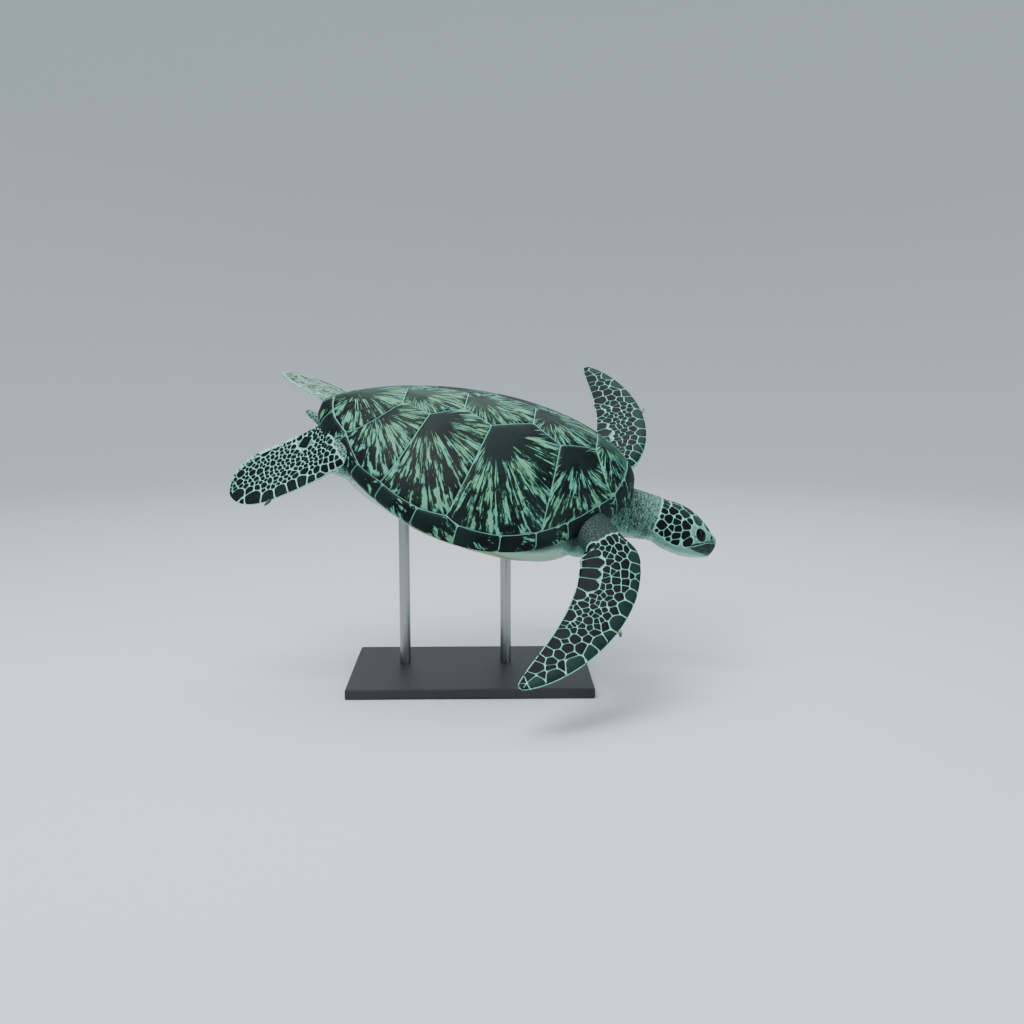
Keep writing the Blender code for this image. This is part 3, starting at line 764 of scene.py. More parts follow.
def bellySurface(where, depth=0.0):
    x, y = where[:, 0], where[:, 1]
    small = 0.002
    across = (belly(x, y + small) - belly(x, y - small)) / (2 * small)
    along = (belly(x + small, y) - belly(x - small, y)) / (2 * small)
    inward = np.stack([-along, -across, np.ones(len(x))], 1)
    inward /= np.linalg.norm(inward, axis=1, keepdims=True)
    return np.stack([x, y, belly(x, y)], 1) + inward * (depth - under["sunk"])


def plastronHalf(x):
    along = np.minimum(np.abs(x - under["middle"]) / (under["length"] / 2), 1)
    lobe = under["lobe"] * (1 - along ** 2.6) ** 0.55
    return lobe + under["bridge"] / (1 + (np.abs(x - 0.02) / 0.13) ** 6) * (1 - along ** 4)


# ---- the skin ----

skin = {"coat": 0.0016, "voxel": 0.0029, "triangles": 188000, "thinned": (1.0, 0.40, 0.25)}


def trunkBody(around, rings, inset):
    unit, faces = ballGrid(around, rings)
    unit = unit[:, [1, 2, 0]]                   # poles above and below
    reach = np.minimum(np.hypot(unit[:, 0], unit[:, 1]), 1)
    angle = np.arctan2(unit[:, 1], unit[:, 0])
    x = reach * 0.364 * np.cos(angle)
    y = reach * 0.87 * halfWidth(0.5 - 0.455 * np.cos(angle)) * np.sign(np.sin(angle))
    roof = rimHeight(0.5 - x / shell["length"]) - shell["rim"] - 0.0025
    z = np.where(unit[:, 2] > 1e-4, roof, np.minimum(belly(x, y) + 0.003 + inset, roof - 0.004))
    return np.stack([x, y, z], 1), faces


def ballBody(centre, size, inset):
    unit, faces = ballGrid(40, 24)
    return np.array(centre) + unit * (np.array(size) - inset), faces


def buildSkin(finish):
    inset = skin["coat"]
    bodies = [trunkBody(80, 40, 0)]
    bodies.append(rodBody(head["neckStart"], head["neckEnd"], head["neckRadii"], 1.0, 60, 50, inset))
    bodies.append(rodBody((-0.300, 0, -0.005), (-0.437, 0.020, 0.036), (0.040, 0.008), 0.8, 40, 50, 0.0008))
    for side in (-1, 1):
        bodies.append(ballBody((0.285, side * 0.115, -0.006), (0.085, 0.085, 0.058), inset))
        bodies.append(ballBody((-0.285, side * 0.085, 0.004), (0.095, 0.080, 0.044), inset))
    unit, faces = ballGrid(90, 110)
    share = 0.5 + 0.5 * unit[:, 0]
    turn = np.arctan2(-unit[:, 1], unit[:, 2])
    closing = np.where(share < 0.2, np.minimum(np.hypot(unit[:, 1], unit[:, 2]) / 0.3, 1), 1)
    shape = headShape(share, turn, closing)
    middle = (eased(share, "top") + eased(share, "bottom")) / 2
    centreLine = np.stack([shape[:, 0], 0 * middle, middle], 1)
    outward = shape - centreLine
    length = np.linalg.norm(outward, axis=1, keepdims=True)
    shape = centreLine + outward * np.maximum(length - inset, 0) / np.maximum(length, 1e-6)
    shape[:, 0] -= inset * step(0.93, 1.0, share)
    bodies.append((headPlace(shape), faces))
    blades = []
    for limb in limbs.values():
        points, faces, share, fore = limbBody(limb, 56, 110, inset)
        bodies.append((points, faces))
        blades.append((points, faces, share, fore))
    points, faces, count = [], [], 0
    for part, partFaces in bodies:
        points.append(part)
        faces += [[corner + count for corner in face] for face in partFaces]
        count += len(part)
    piece = addPiece("turtle_skin", toWorld(np.vstack(points)), faces, finish)
    shape = bmesh.new()
    shape.from_mesh(piece.data)
    for body in looseBodies(shape):
        middle = sum((face.calc_center_median() for face in body), Vector()) / len(body)
        turned = sum((face.calc_center_median() - middle).dot(face.normal) * face.calc_area() for face in body)
        if turned < 0:
            bmesh.ops.reverse_faces(shape, faces=list(body))
    shape.to_mesh(piece.data)
    shape.free()
    deselect()
    bpy.context.view_layer.objects.active = piece
    remesh = piece.modifiers.new("one body", "REMESH")
    remesh.mode, remesh.voxel_size = "VOXEL", skin["voxel"]
    bpy.ops.object.modifier_apply(modifier=remesh.name)
    print("skin remeshed", len(piece.data.vertices))
    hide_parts("trunk", "neck", "head", "jaw_lower", "tail", *limbs)
    return piece, blades


def looseBodies(shape):
    shape.faces.ensure_lookup_table()
    left, bodies = set(shape.faces), []
    while left:
        queue, body = [left.pop()], []
        while queue:
            face = queue.pop()
            body.append(face)
            for edge in face.edges:
                for other in edge.link_faces:
                    if other in left:
                        left.discard(other)
                        queue.append(other)
        bodies.append(body)
    return bodies


def meshPoints(piece):
    points = np.zeros(len(piece.data.vertices) * 3)
    piece.data.vertices.foreach_get("co", points)
    return points.reshape(-1, 3)


def nearestTable(points):
    tree = kdtree.KDTree(len(points))
    for number, point in enumerate(points):
        tree.insert(point, number)
    tree.balance()
    return tree


def shapeSkin(piece, blades):
    # snaps the blades to their true form, wrinkles the neck and thins the mesh where the shell hides it
    points = meshPoints(piece)
    bladePoints = toWorld(np.vstack([blade[0] for blade in blades]))
    shares = np.concatenate([blade[2] for blade in blades])
    tree = nearestTable(bladePoints)
    found = [tree.find(point) for point in points]
    away = np.array([entry[2] for entry in found])
    share = np.array([shares[entry[1]] for entry in found])
    onBlade = np.clip(1 - away / 0.006, 0, 1) > 0
    weight = np.where(onBlade, step(0.08, 0.30, share), 0)
    trueForm = []
    faces, count = [], 0
    for part, partFaces, unused, fore in blades:
        trueForm.append(part)
        faces += [[corner + count for corner in face] for face in partFaces]
        count += len(part)
    mesh = bpy.data.meshes.new("blade form")
    mesh.from_pydata([tuple(p) for p in toWorld(np.vstack(trueForm))], [], faces)
    form = bpy.data.objects.new("blade form", mesh)
    bpy.context.scene.collection.objects.link(form)
    bpy.context.view_layer.objects.active = piece
    local = toBody(points)
    headLocal = (local - head["base"]) @ headTurn
    joins = step(0.30, 0.36, local[:, 0]) * (1 - step(0.035, 0.065, headLocal[:, 0]))
    joins = np.maximum(joins, np.where(onBlade, 1 - step(0.10, 0.22, share), 1) * (np.abs(local[:, 0]) > 0.22))
    joins = joins * (headLocal[:, 0] < 0.065)
    group = piece.vertex_groups.new(name="joins")
    group.add([int(n) for n in np.where(joins > 0.5)[0]], 1.0, "REPLACE")
    melt = piece.modifiers.new("melt the joins", "SMOOTH")
    melt.factor, melt.iterations, melt.vertex_group = 0.6, 26, "joins"
    bpy.ops.object.modifier_apply(modifier=melt.name)
    smooth = piece.modifiers.new("ease the joins", "SMOOTH")
    smooth.factor, smooth.iterations = 0.5, 6
    group = piece.vertex_groups.new(name="blade")
    rest = piece.vertex_groups.new(name="rest")
    for level in range(1, 11):
        chosen = np.where((weight > (level - 0.5) / 10) & (weight <= (level + 0.5) / 10))[0]
        group.add([int(n) for n in chosen], level / 10, "REPLACE")
    chosen = np.where(weight < 0.5)[0]
    rest.add([int(n) for n in chosen], 1.0, "REPLACE")
    smooth.vertex_group = "rest"
    wrap = piece.modifiers.new("true blades", "SHRINKWRAP")
    wrap.target, wrap.vertex_group, wrap.wrap_method = form, "blade", "NEAREST_SURFACEPOINT"
    bpy.ops.object.modifier_apply(modifier=smooth.name)
    bpy.ops.object.modifier_apply(modifier=wrap.name)
    bpy.data.objects.remove(form)
    wrinkle(piece)
    points = toBody(meshPoints(piece))
    hidden = (np.abs(points[:, 0]) < 0.27) & (np.abs(points[:, 1]) < 0.29)
    hidden &= (points[:, 2] > -0.09) | (np.abs(points[:, 1]) < plastronHalf(points[:, 0]) - 0.03)
    # the head and neck keep every face, the flippers' blades and the bare trunk give up some
    group = piece.vertex_groups.new(name="thinned")
    blade = onBlade & (share > 0.12) & ~hidden
    bare = (points[:, 0] < 0.27) & ~hidden & ~blade
    for chosen, amount in zip((hidden, blade, bare), skin["thinned"]):
        group.add([int(n) for n in np.where(chosen)[0]], amount, "REPLACE")
    thin = piece.modifiers.new("thin the skin", "DECIMATE")
    thin.ratio = skin["triangles"] / sum(len(face.vertices) - 2 for face in piece.data.polygons)
    thin.vertex_group = "thinned"
    bpy.ops.object.modifier_apply(modifier=thin.name)
    print("skin shaped", sum(len(face.vertices) - 2 for face in piece.data.polygons))


folds = {"length": 0.0135, "depth": 0.0019}


def wrinkle(piece):
    # folds of loose skin that run round the neck
    points = meshPoints(piece)
    local = toBody(points)
    inHead = (local - head["base"]) @ headTurn
    x, y, z = local.T
    loose = step(0.33, 0.37, x) * (1 - step(0.015, 0.045, inHead[:, 0])) * (np.abs(y) < 0.10)
    run = x / folds["length"] + 0.45 * np.sin(y * 41 + 1) + 0.40 * np.sin(z * 47) + 0.25 * np.sin(x * 90 + y * 70)
    depth = folds["depth"] * loose * (0.5 + 0.5 * np.sin(2 * math.pi * run)) ** 2
    depth = depth * (0.65 + 0.35 * np.sin(y * 90 + z * 110 + x * 60))
    normals = foreach(piece.data.vertices, "normal", 3)
    piece.data.vertices.foreach_set("co", (points - normals * depth[:, None]).ravel())
    piece.data.update()


# ---- scales ----

def clipCell(cell, normal, limit):
    # keeps the part of a polygon on the near side of a line
    kept = []
    heights = [point @ normal - limit for point in cell]
    for n, point in enumerate(cell):
        m = (n + 1) % len(cell)
        if heights[n] <= 0:
            kept.append(point)
        if (heights[n] < 0) != (heights[m] < 0):
            part = heights[n] / (heights[n] - heights[m])
            kept.append(point + (cell[m] - point) * part)
    return kept


def cellsOf(seeds, sizes, gap, grow=2.1):
    # each seed's own ground, shrunk by half the seam; larger sizes push their neighbours away
    cells = []
    turns = np.arange(12) * math.pi / 6
    for n, seed in enumerate(seeds):
        away = np.linalg.norm(seeds - seed, axis=1)
        near = np.where((away < (sizes + sizes[n]) * 2.6) & (away > 1e-6))[0]
        cell = [seed + sizes[n] * grow * np.array([math.cos(t), math.sin(t)]) for t in turns]
        for m in near[np.argsort(away[near])]:
            normal = (seeds[m] - seed) / away[m]
            limit = (away[m] ** 2 + sizes[n] ** 2 - sizes[m] ** 2) / (2 * away[m]) - gap / 2
            cell = clipCell(cell, normal, seed @ normal + limit)
            if len(cell) < 3:
                break
        cells.append(np.array(cell) if len(cell) >= 3 else None)
    return cells


def onSkin(tree, base, normal, hold):
    # moves places on a smooth form on to the skin itself, as far as hold says
    moved, facing = [], []
    for point in toWorld(base):
        place, way = tree.find_nearest(Vector(point))[:2]
        moved.append(place + way * skin["coat"])
        facing.append(way)
    hold = hold[:, None]
    normal = normal * (1 - hold) + (np.array(facing) @ bodyTurn) * hold
    return base + (toBody(moved) - base) * hold, normal / np.linalg.norm(normal, axis=1, keepdims=True)


scales = {"lift": 0.0002, "depth": 0.0028, "edge": 0.0012, "gap": 0.0016, "seed": 11}


def addScale(into, surface, cell, flip, place, values, corner=0.17, rounds=2, limit=None, held=None, rise=None):
    # one scale: a low dome with its rim set into the skin
    size = math.sqrt(abs(loopArea(cell)))
    loop = rounded(resample(cell, max(size * 0.45, 0.0035)), rounds, corner)
    if limit is not None:
        loop = limit(loop)
    if loopArea(loop) < 0:
        loop = loop[::-1]
    loop = loop[np.linalg.norm(loop - np.roll(loop, 1, 0), axis=1) > size * 0.045]
    if len(loop) < 4 or loopArea(loop) < 3e-6:
        return
    middle = loop.mean(0)
    if size > 0.022:
        rings = [(1.0, -1.0), (0.985, 0.1), (0.93, 0.72), (0.72, 0.92), (0.40, 1.0)]
    elif size > 0.011:
        rings = [(1.0, -1.0), (0.975, 0.1), (0.88, 0.75), (0.55, 0.97)]
    else:
        rings = [(1.0, -1.0), (0.95, 0.15), (0.74, 0.85)]
    flat = np.vstack([middle + (loop - middle) * scale for scale, height in rings] + [[middle]])
    height = np.concatenate([np.full(len(loop), height) for scale, height in rings] + [[1.0]])
    sunk, lift = rise or (-scales["depth"], scales["lift"])
    height = np.where(height < 0, sunk, height * lift)
    base, normal = surface(flat), normalsOf(surface, flat) * (-1 if flip else 1)
    if held is not None:
        base, normal = onSkin(held[0], base, normal, held[1](flat))
    count = len(loop)
    faces = []
    for ring in range(len(rings) - 1):
        low = ring * count
        for n in range(count):
            m = (n + 1) % count
            faces.append([low + n, low + m, low + count + m, low + count + n])
    last = (len(rings) - 1) * count
    faces += [[last + n, last + (n + 1) % count, last + count] for n in range(count)]
    faces.append(list(range(count))[::-1])
    if flip:
        faces = [face[::-1] for face in faces]
    out = np.concatenate([np.full(count, scale) for scale, height in rings] + [[0.0]])
    patch = place + (flat - middle) / max(np.abs(flat - middle).max(), 1e-6) * 0.0015
    into.add(base + normal * height[:, None], faces, rim=out, size=size,
             place=np.stack([patch[:, 0], patch[:, 1], 0 * out], 1), **values)


# millimetres along the middle line, across it (leading edge positive) and half the size; the rest is filled in
frontScales = {
    "lobe": [(34, -35, 16), (58, -34, 20), (94, -38, 21), (126, -40, 24), (165, -55, 17), (197, -63, 8),
             (236, -54, 19), (276, -45, 6), (289, -34, 16), (325, -29, 13), (355, -26, 11), (379, -25, 7),
             (401, -17, 15), (429, -4, 10)],
    "lead": [(17, 60, 14), (41, 58, 14), (68, 57, 12), (84, 68, 10), (103, 62, 13), (131, 58, 15), (163, 55, 18),
             (203, 54, 20), (238, 58, 15), (264, 47, 18), (292, 46, 18), (338, 40, 24), (386, 29, 20),
             (428, 14, 17)],
    "mid": [(23, 24, 9), (38, 25, 7), (47, 18, 7), (62, 33, 8), (86, 34, 9), (68, 11, 9), (81, 6, 6), (105, 16, 9),
            (126, -12, 8), (124, 22, 8), (103, 39, 8), (143, -18, 8), (137, 9, 8), (143, 33, 10), (159, -22, 7),
            (150, -2, 5), (154, 12, 6), (191, -36, 11), (163, 22, 8), (180, 36, 11), (216, -36, 7), (229, -6, 11),
            (233, 18, 7), (198, 27, 9), (222, 34, 9), (263, -2, 10), (287, -5, 11), (249, 21, 8), (270, 18, 7),
            (317, -3, 12), (298, 22, 12), (342, -6, 11), (330, 23, 12), (366, -6, 10), (358, 22, 11), (378, 9, 9),
            (159, -9, 4), (173, 4, 5), (174, -8, 5), (187, 14, 4), (197, 3, 6), (214, 18, 4), (255, -29, 4),
            (235, -25, 4), (219, -19, 5), (263, -33, 4), (246, -24, 4), (186, -12, 5), (207, -9, 4)]}
rearScales = {
    "lobe": [(79, 80, 10), (111, 79, 10), (149, 76, 10), (183, 77, 15), (208, 62, 8), (226, 53, 8), (20, 78, 9),
             (45, 82, 8)],
    "lead": [(50, -82, 8), (70, -77, 9), (93, -68, 14), (117, -68, 15), (144, -70, 17), (176, -71, 16),
             (213, -62, 22), (254, -36, 18)],
    "mid": [(253, 30, 13), (253, 3, 10), (219, 20, 10), (196, 16, 10), (177, 16, 8), (161, 27, 8), (127, 33, 7),
            (91, 3, 6), (221, -36, 12), (203, -36, 10), (185, -35, 9), (169, -28, 8), (155, -28, 7), (109, -36, 8),
            (18, -39, 7), (33, -34, 6), (11, -58, 8), (25, -54, 8), (33, -69, 9), (53, -60, 9), (81, -46, 10),
            (106, -46, 8)]}
fill = {"front": (0.0062, 0.0080), "rear": (0.0046, 0.0074), "tries": 5000}
thighOval = {"middle": (0.064, 0.047), "first": (0.0270, 0.0150), "second": (-0.002, 0.0215), "clear": 1.25}


def limbSeeds(blade, pattern, sizes, jitter, random):
    # the laid pattern, then small ones wherever there is room
    seeds = []
    for word, green in (("lobe", 0.12), ("lead", 0.55 if pattern is frontScales else 0.22), ("mid", 0.0)):
        for along, across, size in pattern[word]:
            wobble = (random.random(2) - 0.5) * jitter
            seeds.append((along / 1000 + wobble[0], across / 1000 + wobble[1], size / 1000, green))
    laid = np.array(seeds)
    taken, radii = laid[:, :2], laid[:, 2]
    if pattern is frontScales:
        # the lobes reach the trailing edge, so nothing small is put behind them
        lobes = laid[:len(pattern["lobe"])]
        for part in (0.25, 0.5, 0.75, 1.0):
            behind = -halfChord(blade, lobes[:, 0] / blade["length"])
            spots = np.stack([lobes[:, 0], lobes[:, 1] + (behind - lobes[:, 1]) * part], 1)
            taken, radii = np.vstack([taken, spots]), np.append(radii, lobes[:, 2])
    known = len(taken)
    for turn in range(fill["tries"]):
        share = random.random() * 0.985
        across = (random.random() * 2 - 1) * 0.92 * float(halfChord(blade, np.array(share)))
        size = sizes[0] + (sizes[1] - sizes[0]) * random.random() ** 2
        place = np.array([share * blade["length"], across])
        if (np.linalg.norm(taken - place, axis=1) > radii + size * 0.92).all():
            taken, radii = np.vstack([taken, place]), np.append(radii, size)
    extra = np.stack([*taken[known:].T, radii[known:], np.zeros(len(taken) - known)], 1)
    return np.vstack([laid, extra])


def buildLimbScales(finish, skinPiece):
    made = []
    skinTree = treeOf(skinPiece)
    turns = np.arange(24) * math.pi / 12
    for number, (name, limb) in enumerate(limbs.items()):
        blade = limb[0]
        front = blade is frontBlade
        random = np.random.default_rng(scales["seed"] + number)
        into = PlateSet()

        def limit(loop):
            reach = halfChord(blade, loop[:, 0] / blade["length"]) - scales["edge"]
            return np.stack([np.clip(loop[:, 0], -0.02, blade["length"] * 0.985),
                             np.clip(loop[:, 1], -reach, reach)], 1)

        held = (skinTree, lambda flat: 1 - step(0.20, 0.34, flat[:, 0] / blade["length"]))
        for face in (1, -1):
            seen = face > 0 and limb[1] < 0
            seeds = limbSeeds(blade, frontScales if front else rearScales, fill["front" if front else "rear"],
                              0.0 if seen else 0.004, random)
            cells = []
            if not front:
                ways = np.array([thighOval["first"], thighOval["second"]])
                inside = np.linalg.norm((seeds[:, :2] - thighOval["middle"]) @ np.linalg.inv(ways), axis=1)
                seeds = seeds[inside > thighOval["clear"]]
                loop = thighOval["middle"] + np.stack([np.cos(turns), np.sin(turns)], 1) @ ways
                cells.append((loop, np.array(thighOval["middle"]), 0.0, 0.028))
            found = cellsOf(seeds[:, :2], seeds[:, 2], scales["gap"] if front else 0.0023, 2.1 if front else 1.6)
            cells += [(cell, seed[:2], seed[3], seed[2]) for cell, seed in zip(found, seeds) if cell is not None]
            surface = limbSurface(limb, face)
            for cell, seed, green, size in cells:
                if abs(loopArea(cell)) < 1.0e-5:
                    continue
                share = seed[0] / blade["length"]
                half = float(halfChord(blade, np.array(share)))
                place = np.array([0.02 + 0.96 * np.clip(share, 0, 1),
                                  0.25 + 0.5 * (face > 0) + 0.22 * np.clip(seed[1] / max(half, 1e-4), -1, 1)])
                if share < 0.30 and buried(skinTree, surface(limit(cell))):
                    continue
                lobe = front and share < 0.40 and size > 0.0155 and seed[1] < 0
                pale = (1 - 0.80 * step(0.40, 0.9, share)) * (face < 0)
                if name == "flipper_rear_left" and face > 0:
                    pale = 0.10 + 0.55 * random.random()
                addScale(into, surface, cell, face * blade["ahead"] * limb[1] > 0, place,
                         {"tone": random.random(), "green": float(green), "pale": float(pale)},
                         0.24 if lobe or not front else 0.17, 3 if lobe else 2, limit, held)
        made.append(into.piece("scales_" + name, "skin", finish))
        print(made[-1].name, into.count, len(into.faces))
    return made


def treeOf(piece):
    return bvhtree.BVHTree.FromObject(piece, bpy.context.evaluated_depsgraph_get())


def buried(tree, points):
    # whether any of these places lies well under the skin
    for point in toWorld(points):
        place, normal = tree.find_nearest(Vector(point))[:2]
        if (Vector(point) - place).dot(normal) < -0.0045:
            return True
    return False


# share of the head's length, turn from the crown, size, paleness
headSeeds = [(0.05, 10, 0.0080, 0.5), (0.05, 28, 0.0075, 0.3), (0.20, 11, 0.0105, 0.5), (0.385, 0, 0.0130, 0.6),
             (0.585, 0, 0.0095, 0.8), (0.535, 22, 0.0120, 0.9), (0.735, 11, 0.0100, 0.9),
             (0.04, 46, 0.0078, 0.1), (0.15, 34, 0.0110, 0.1), (0.32, 27, 0.0115, 0.35), (0.045, 66, 0.0050, 0),
             (0.13, 65, 0.0104, 0), (0.25, 48, 0.0066, 0), (0.25, 61, 0.0086, 0), (0.095, 84, 0.0108, 0),
             (0.42, 42, 0.0072, 0.1), (0.39, 58, 0.0106, 0), (0.305, 75, 0.0084, 0), (0.225, 81, 0.0062, 0),
             (0.21, 93, 0.0078, 0), (0.335, 90, 0.0078, 0), (0.445, 78, 0.0085, 0), (0.155, 101, 0.0055, 0),
             (0.37, 102, 0.0084, 0), (0.53, 90, 0.0092, 0), (0.27, 104, 0.0048, 0), (0.075, 101, 0.0036, 0)]
orbit = {"share": 0.662, "turn": 58, "size": 0.0170}
bareSeeds = [(0.86, 12, 0.009), (0.84, 34, 0.010), (0.82, 58, 0.011), (0.74, 84, 0.011), (0.92, 60, 0.012),
             (0.62, 106, 0.011), (0.50, 117, 0.012), (0.38, 119, 0.010), (0.27, 120, 0.009), (0.14, 119, 0.010),
             (-0.06, 97, 0.009), (-0.05, 82, 0.009), (-0.07, 58, 0.009), (-0.07, 38, 0.009), (-0.07, 18, 0.009),
             (-0.07, 0, 0.009)]


def buildHeadScales(finish, skinPiece):
    random = np.random.default_rng(5)
    tree = treeOf(skinPiece)
    rows = [(*seed, 1) for seed in headSeeds] + [(*seed, 0, 0) for seed in bareSeeds]
    rows.append((orbit["share"], orbit["turn"], orbit["size"], 0, 0))
    rows += [(row[0], -row[1], *row[2:]) for row in rows if row[1]]
    rows = np.array(rows, float)
    seeds = np.stack([rows[:, 0] * head["length"], np.radians(rows[:, 1]) * headRadius], 1)
    held = (tree, lambda flat: 1 - step(0.24, 0.36, flat[:, 0] / head["length"]))
    into = PlateSet()
    for cell, row in zip(cellsOf(seeds, rows[:, 2], 0.0016, 1.42), rows):
        if row[4] == 0 or cell is None:
            continue
        place = np.array([0.05 + 0.9 * row[0], 0.5 + row[1] / 400])
        addScale(into, headSurface, cell, True, place, {"tone": random.random(), "green": row[3], "pale": 0.0},
                 0.16, 2, None, held)
    return into.piece("scales_head", "skin", finish)


# ---- beak, eyes and claws ----

granules = {"seed": 3, "tries": 90000, "lift": 0.0007, "sunk": 0.0013}


def granuleRegions(local):
    # where the small scales are, how dark, how large, which lie on the neck, and how strong the painted shade under
    # the shell is
    headLocal = (local - head["base"]) @ headTurn
    x, y = local[:, 0], local[:, 1]
    turn = np.arctan2(np.abs(y), x)
    table = np.linspace(0, math.pi, 400)
    outX, outY = outlinePlace(table)
    order = np.argsort(np.arctan2(outY, outX))
    reach = np.hypot(x, y) / np.interp(turn, np.arctan2(outY, outX)[order], np.hypot(outX, outY)[order])
    openSkin = (reach > 0.84) & (headLocal[:, 0] < 0.062)
    neck = step(0.29, 0.35, x) * (np.abs(y) < 0.10)
    middle = np.where(neck > 0.5, 0.020 - 0.03 * step(0.30, 0.48, x), 0.0)
    wander = 0.010 * np.sin(x * 61 + 1.3) * np.sin(y * 47) + 0.006 * np.sin(x * 173 + y * 140)
    top = step(-0.055, 0.035, local[:, 2] - middle + wander)
    size = np.where(neck > 0.5, 0.0068 + 0.0014 * top, 0.0054 + 0.0016 * top)
    # painted shade: near and under the shell the skin and small scales are darker, fading out farther from it; the
    # neck is left out
    underShellShade = 1 - step(1.08, 1.35, reach) * (1 - neck)
    return openSkin, top, size, neck, underShellShade


def scatterGranules(piece, scalePieces, finish):
    mesh = piece.data
    count = len(mesh.polygons)
    read = lambda key, wide: foreach(mesh.polygons, key, wide)
    centres, normals, areas = read("center", 3), read("normal", 3), read("area", 1)[:, 0]
    openSkin, top, size, neck, underShellShade = granuleRegions(toBody(centres))
    weight = areas * openSkin
    random = np.random.default_rng(granules["seed"])
    picks = random.choice(count, granules["tries"], p=weight / weight.sum())
    rims = []
    for scalePiece in scalePieces:
        rim = foreach(scalePiece.data.attributes["rim"].data, "value", 1)[:, 0]
        rims.append(meshPoints(scalePiece)[rim > 0.7])
    tree = nearestTable(np.vstack(rims))
    grid, groups = {}, {"neck": PlateSet(), "body": PlateSet()}
    cellSize = 0.009
    around = np.arange(7) * 2 * math.pi / 7
    lengthways = bodyTurn @ np.array([1.0, 0, 0.1])
    for pick in picks:
        normal = normals[pick]
        onNeck = neck[pick] > 0.5
        second = np.cross(normal, lengthways if onNeck else [0.3, 0.2, 0.93])
        second /= np.linalg.norm(second)
        first = np.cross(second, normal)
        slim = 0.46 if onNeck else 0.86
        shift = (random.random(2) - 0.5) * 0.0028
        place = centres[pick] + first * shift[0] + second * shift[1]
        own = size[pick] * (0.80 + 0.4 * random.random())
        tone, turn = random.random(), random.random()
        key = tuple(np.floor(place / cellSize).astype(int))
        clear = True
        for dx in (-1, 0, 1):
            for dy in (-1, 0, 1):
                for dz in (-1, 0, 1):
                    for other, otherSize in grid.get((key[0] + dx, key[1] + dy, key[2] + dz), ()):
                        apart = other - place
                        along = apart @ first
                        flat = apart @ apart + along * along * (1 / slim ** 2 - 1)
                        if flat < (0.52 * (own + otherSize)) ** 2:
                            clear = False
        if not clear or tree.find(place)[2] < own * 0.5 + 0.0018:
            continue
        grid.setdefault(key, []).append((place, own))
        angles = around + turn
        wide = own * 0.47 * (0.92 + 0.16 * random.random(7))
        ring = np.outer(np.cos(angles) * wide * slim, first) + np.outer(np.sin(angles) * wide, second)
        points = np.vstack([place + ring - normal * granules["sunk"], place + ring * 0.80 + normal * granules["lift"] * 0.6,
                            [place + normal * granules["lift"]]])
        faces = [[n, (n + 1) % 7, 7 + (n + 1) % 7, 7 + n] for n in range(7)]
        faces += [[7 + n, 7 + (n + 1) % 7, 14] for n in range(7)] + [list(range(7))[::-1]]
        at = toBody(place[None])[0]
        unwrap = np.array([(at[0] + 0.5) / 1.15, (math.atan2(at[2], at[1]) / math.pi + 1) / 2])
        spread = np.vstack([np.stack([np.cos(angles), np.sin(angles)], 1)] * 2 + [[[0, 0]]]) * 0.0015
        # the upper side's own dark colour, deepened by the painted shade near the shell
        deep = float(top[pick] * (0.4 + 0.6 * underShellShade[pick]))
        if onNeck:
            deep = 0.9 if tone < 0.28 * top[pick] ** 2 else (0.30 + 0.35 * random.random()) * top[pick]
        groups["neck" if onNeck else "body"].add(
            toBody(points), faces, tone=tone, deep=float(deep), place=np.hstack([unwrap + spread, np.zeros((15, 1))]))
    for word, group in groups.items():
        made = group.piece("scales_small_" + word, "skin", finish)
        print(made.name, group.count // 15)


def foreach(items, key, wide):
    values = np.zeros(len(items) * wide)
    items.foreach_get(key, values)
    return values.reshape(-1, wide)


def stripPiece(name, rows, finish, attributes=None, thickness=0.0016, closed=False):
    # a bent sheet from rows of points, given a wall inwards
    rows = np.array(rows)
    high, wide = rows.shape[:2]
    faces = []
    for row in range(high - 1):
        for n in range(wide - 1 if not closed else wide):
            m = (n + 1) % wide
            faces.append([row * wide + n, row * wide + m, (row + 1) * wide + m, (row + 1) * wide + n])
    piece = addPiece(name, toWorld(rows.reshape(-1, 3)), faces, finish, attributes)
    deselect()
    bpy.context.view_layer.objects.active = piece
    shape = bmesh.new()
    shape.from_mesh(piece.data)
    bmesh.ops.remove_doubles(shape, verts=shape.verts, dist=0.00005)
    middle = Vector(toWorld([headPlace([0.1, 0, 0])])[0])
    bmesh.ops.recalc_face_normals(shape, faces=shape.faces)
    outward = sum((face.calc_center_median() - middle).dot(face.normal) for face in shape.faces)
    if outward < 0:
        bmesh.ops.reverse_faces(shape, faces=shape.faces)
    shape.to_mesh(piece.data)
    shape.free()
    wall = piece.modifiers.new("wall", "SOLIDIFY")
    wall.thickness, wall.offset = thickness, -1
    bpy.ops.object.modifier_apply(modifier=wall.name)
    piece.data.shade_smooth()
    piece.data.set_sharp_from_angle(angle=math.radians(50))
    return piece


beak = {"gap": 0.0011, "end": 0.998, "drawn": 0.9985,
        "upper": ((0.60, 1.5), (0.72, 5), (0.80, 9), (0.88, 15), (0.93, 32), (0.965, 90), (1.0, 120)),
        "lower": ((0.58, 2), (0.67, 13), (0.75, 27), (0.835, 44), (0.90, 60), (0.975, 84), (1.0, 95))}


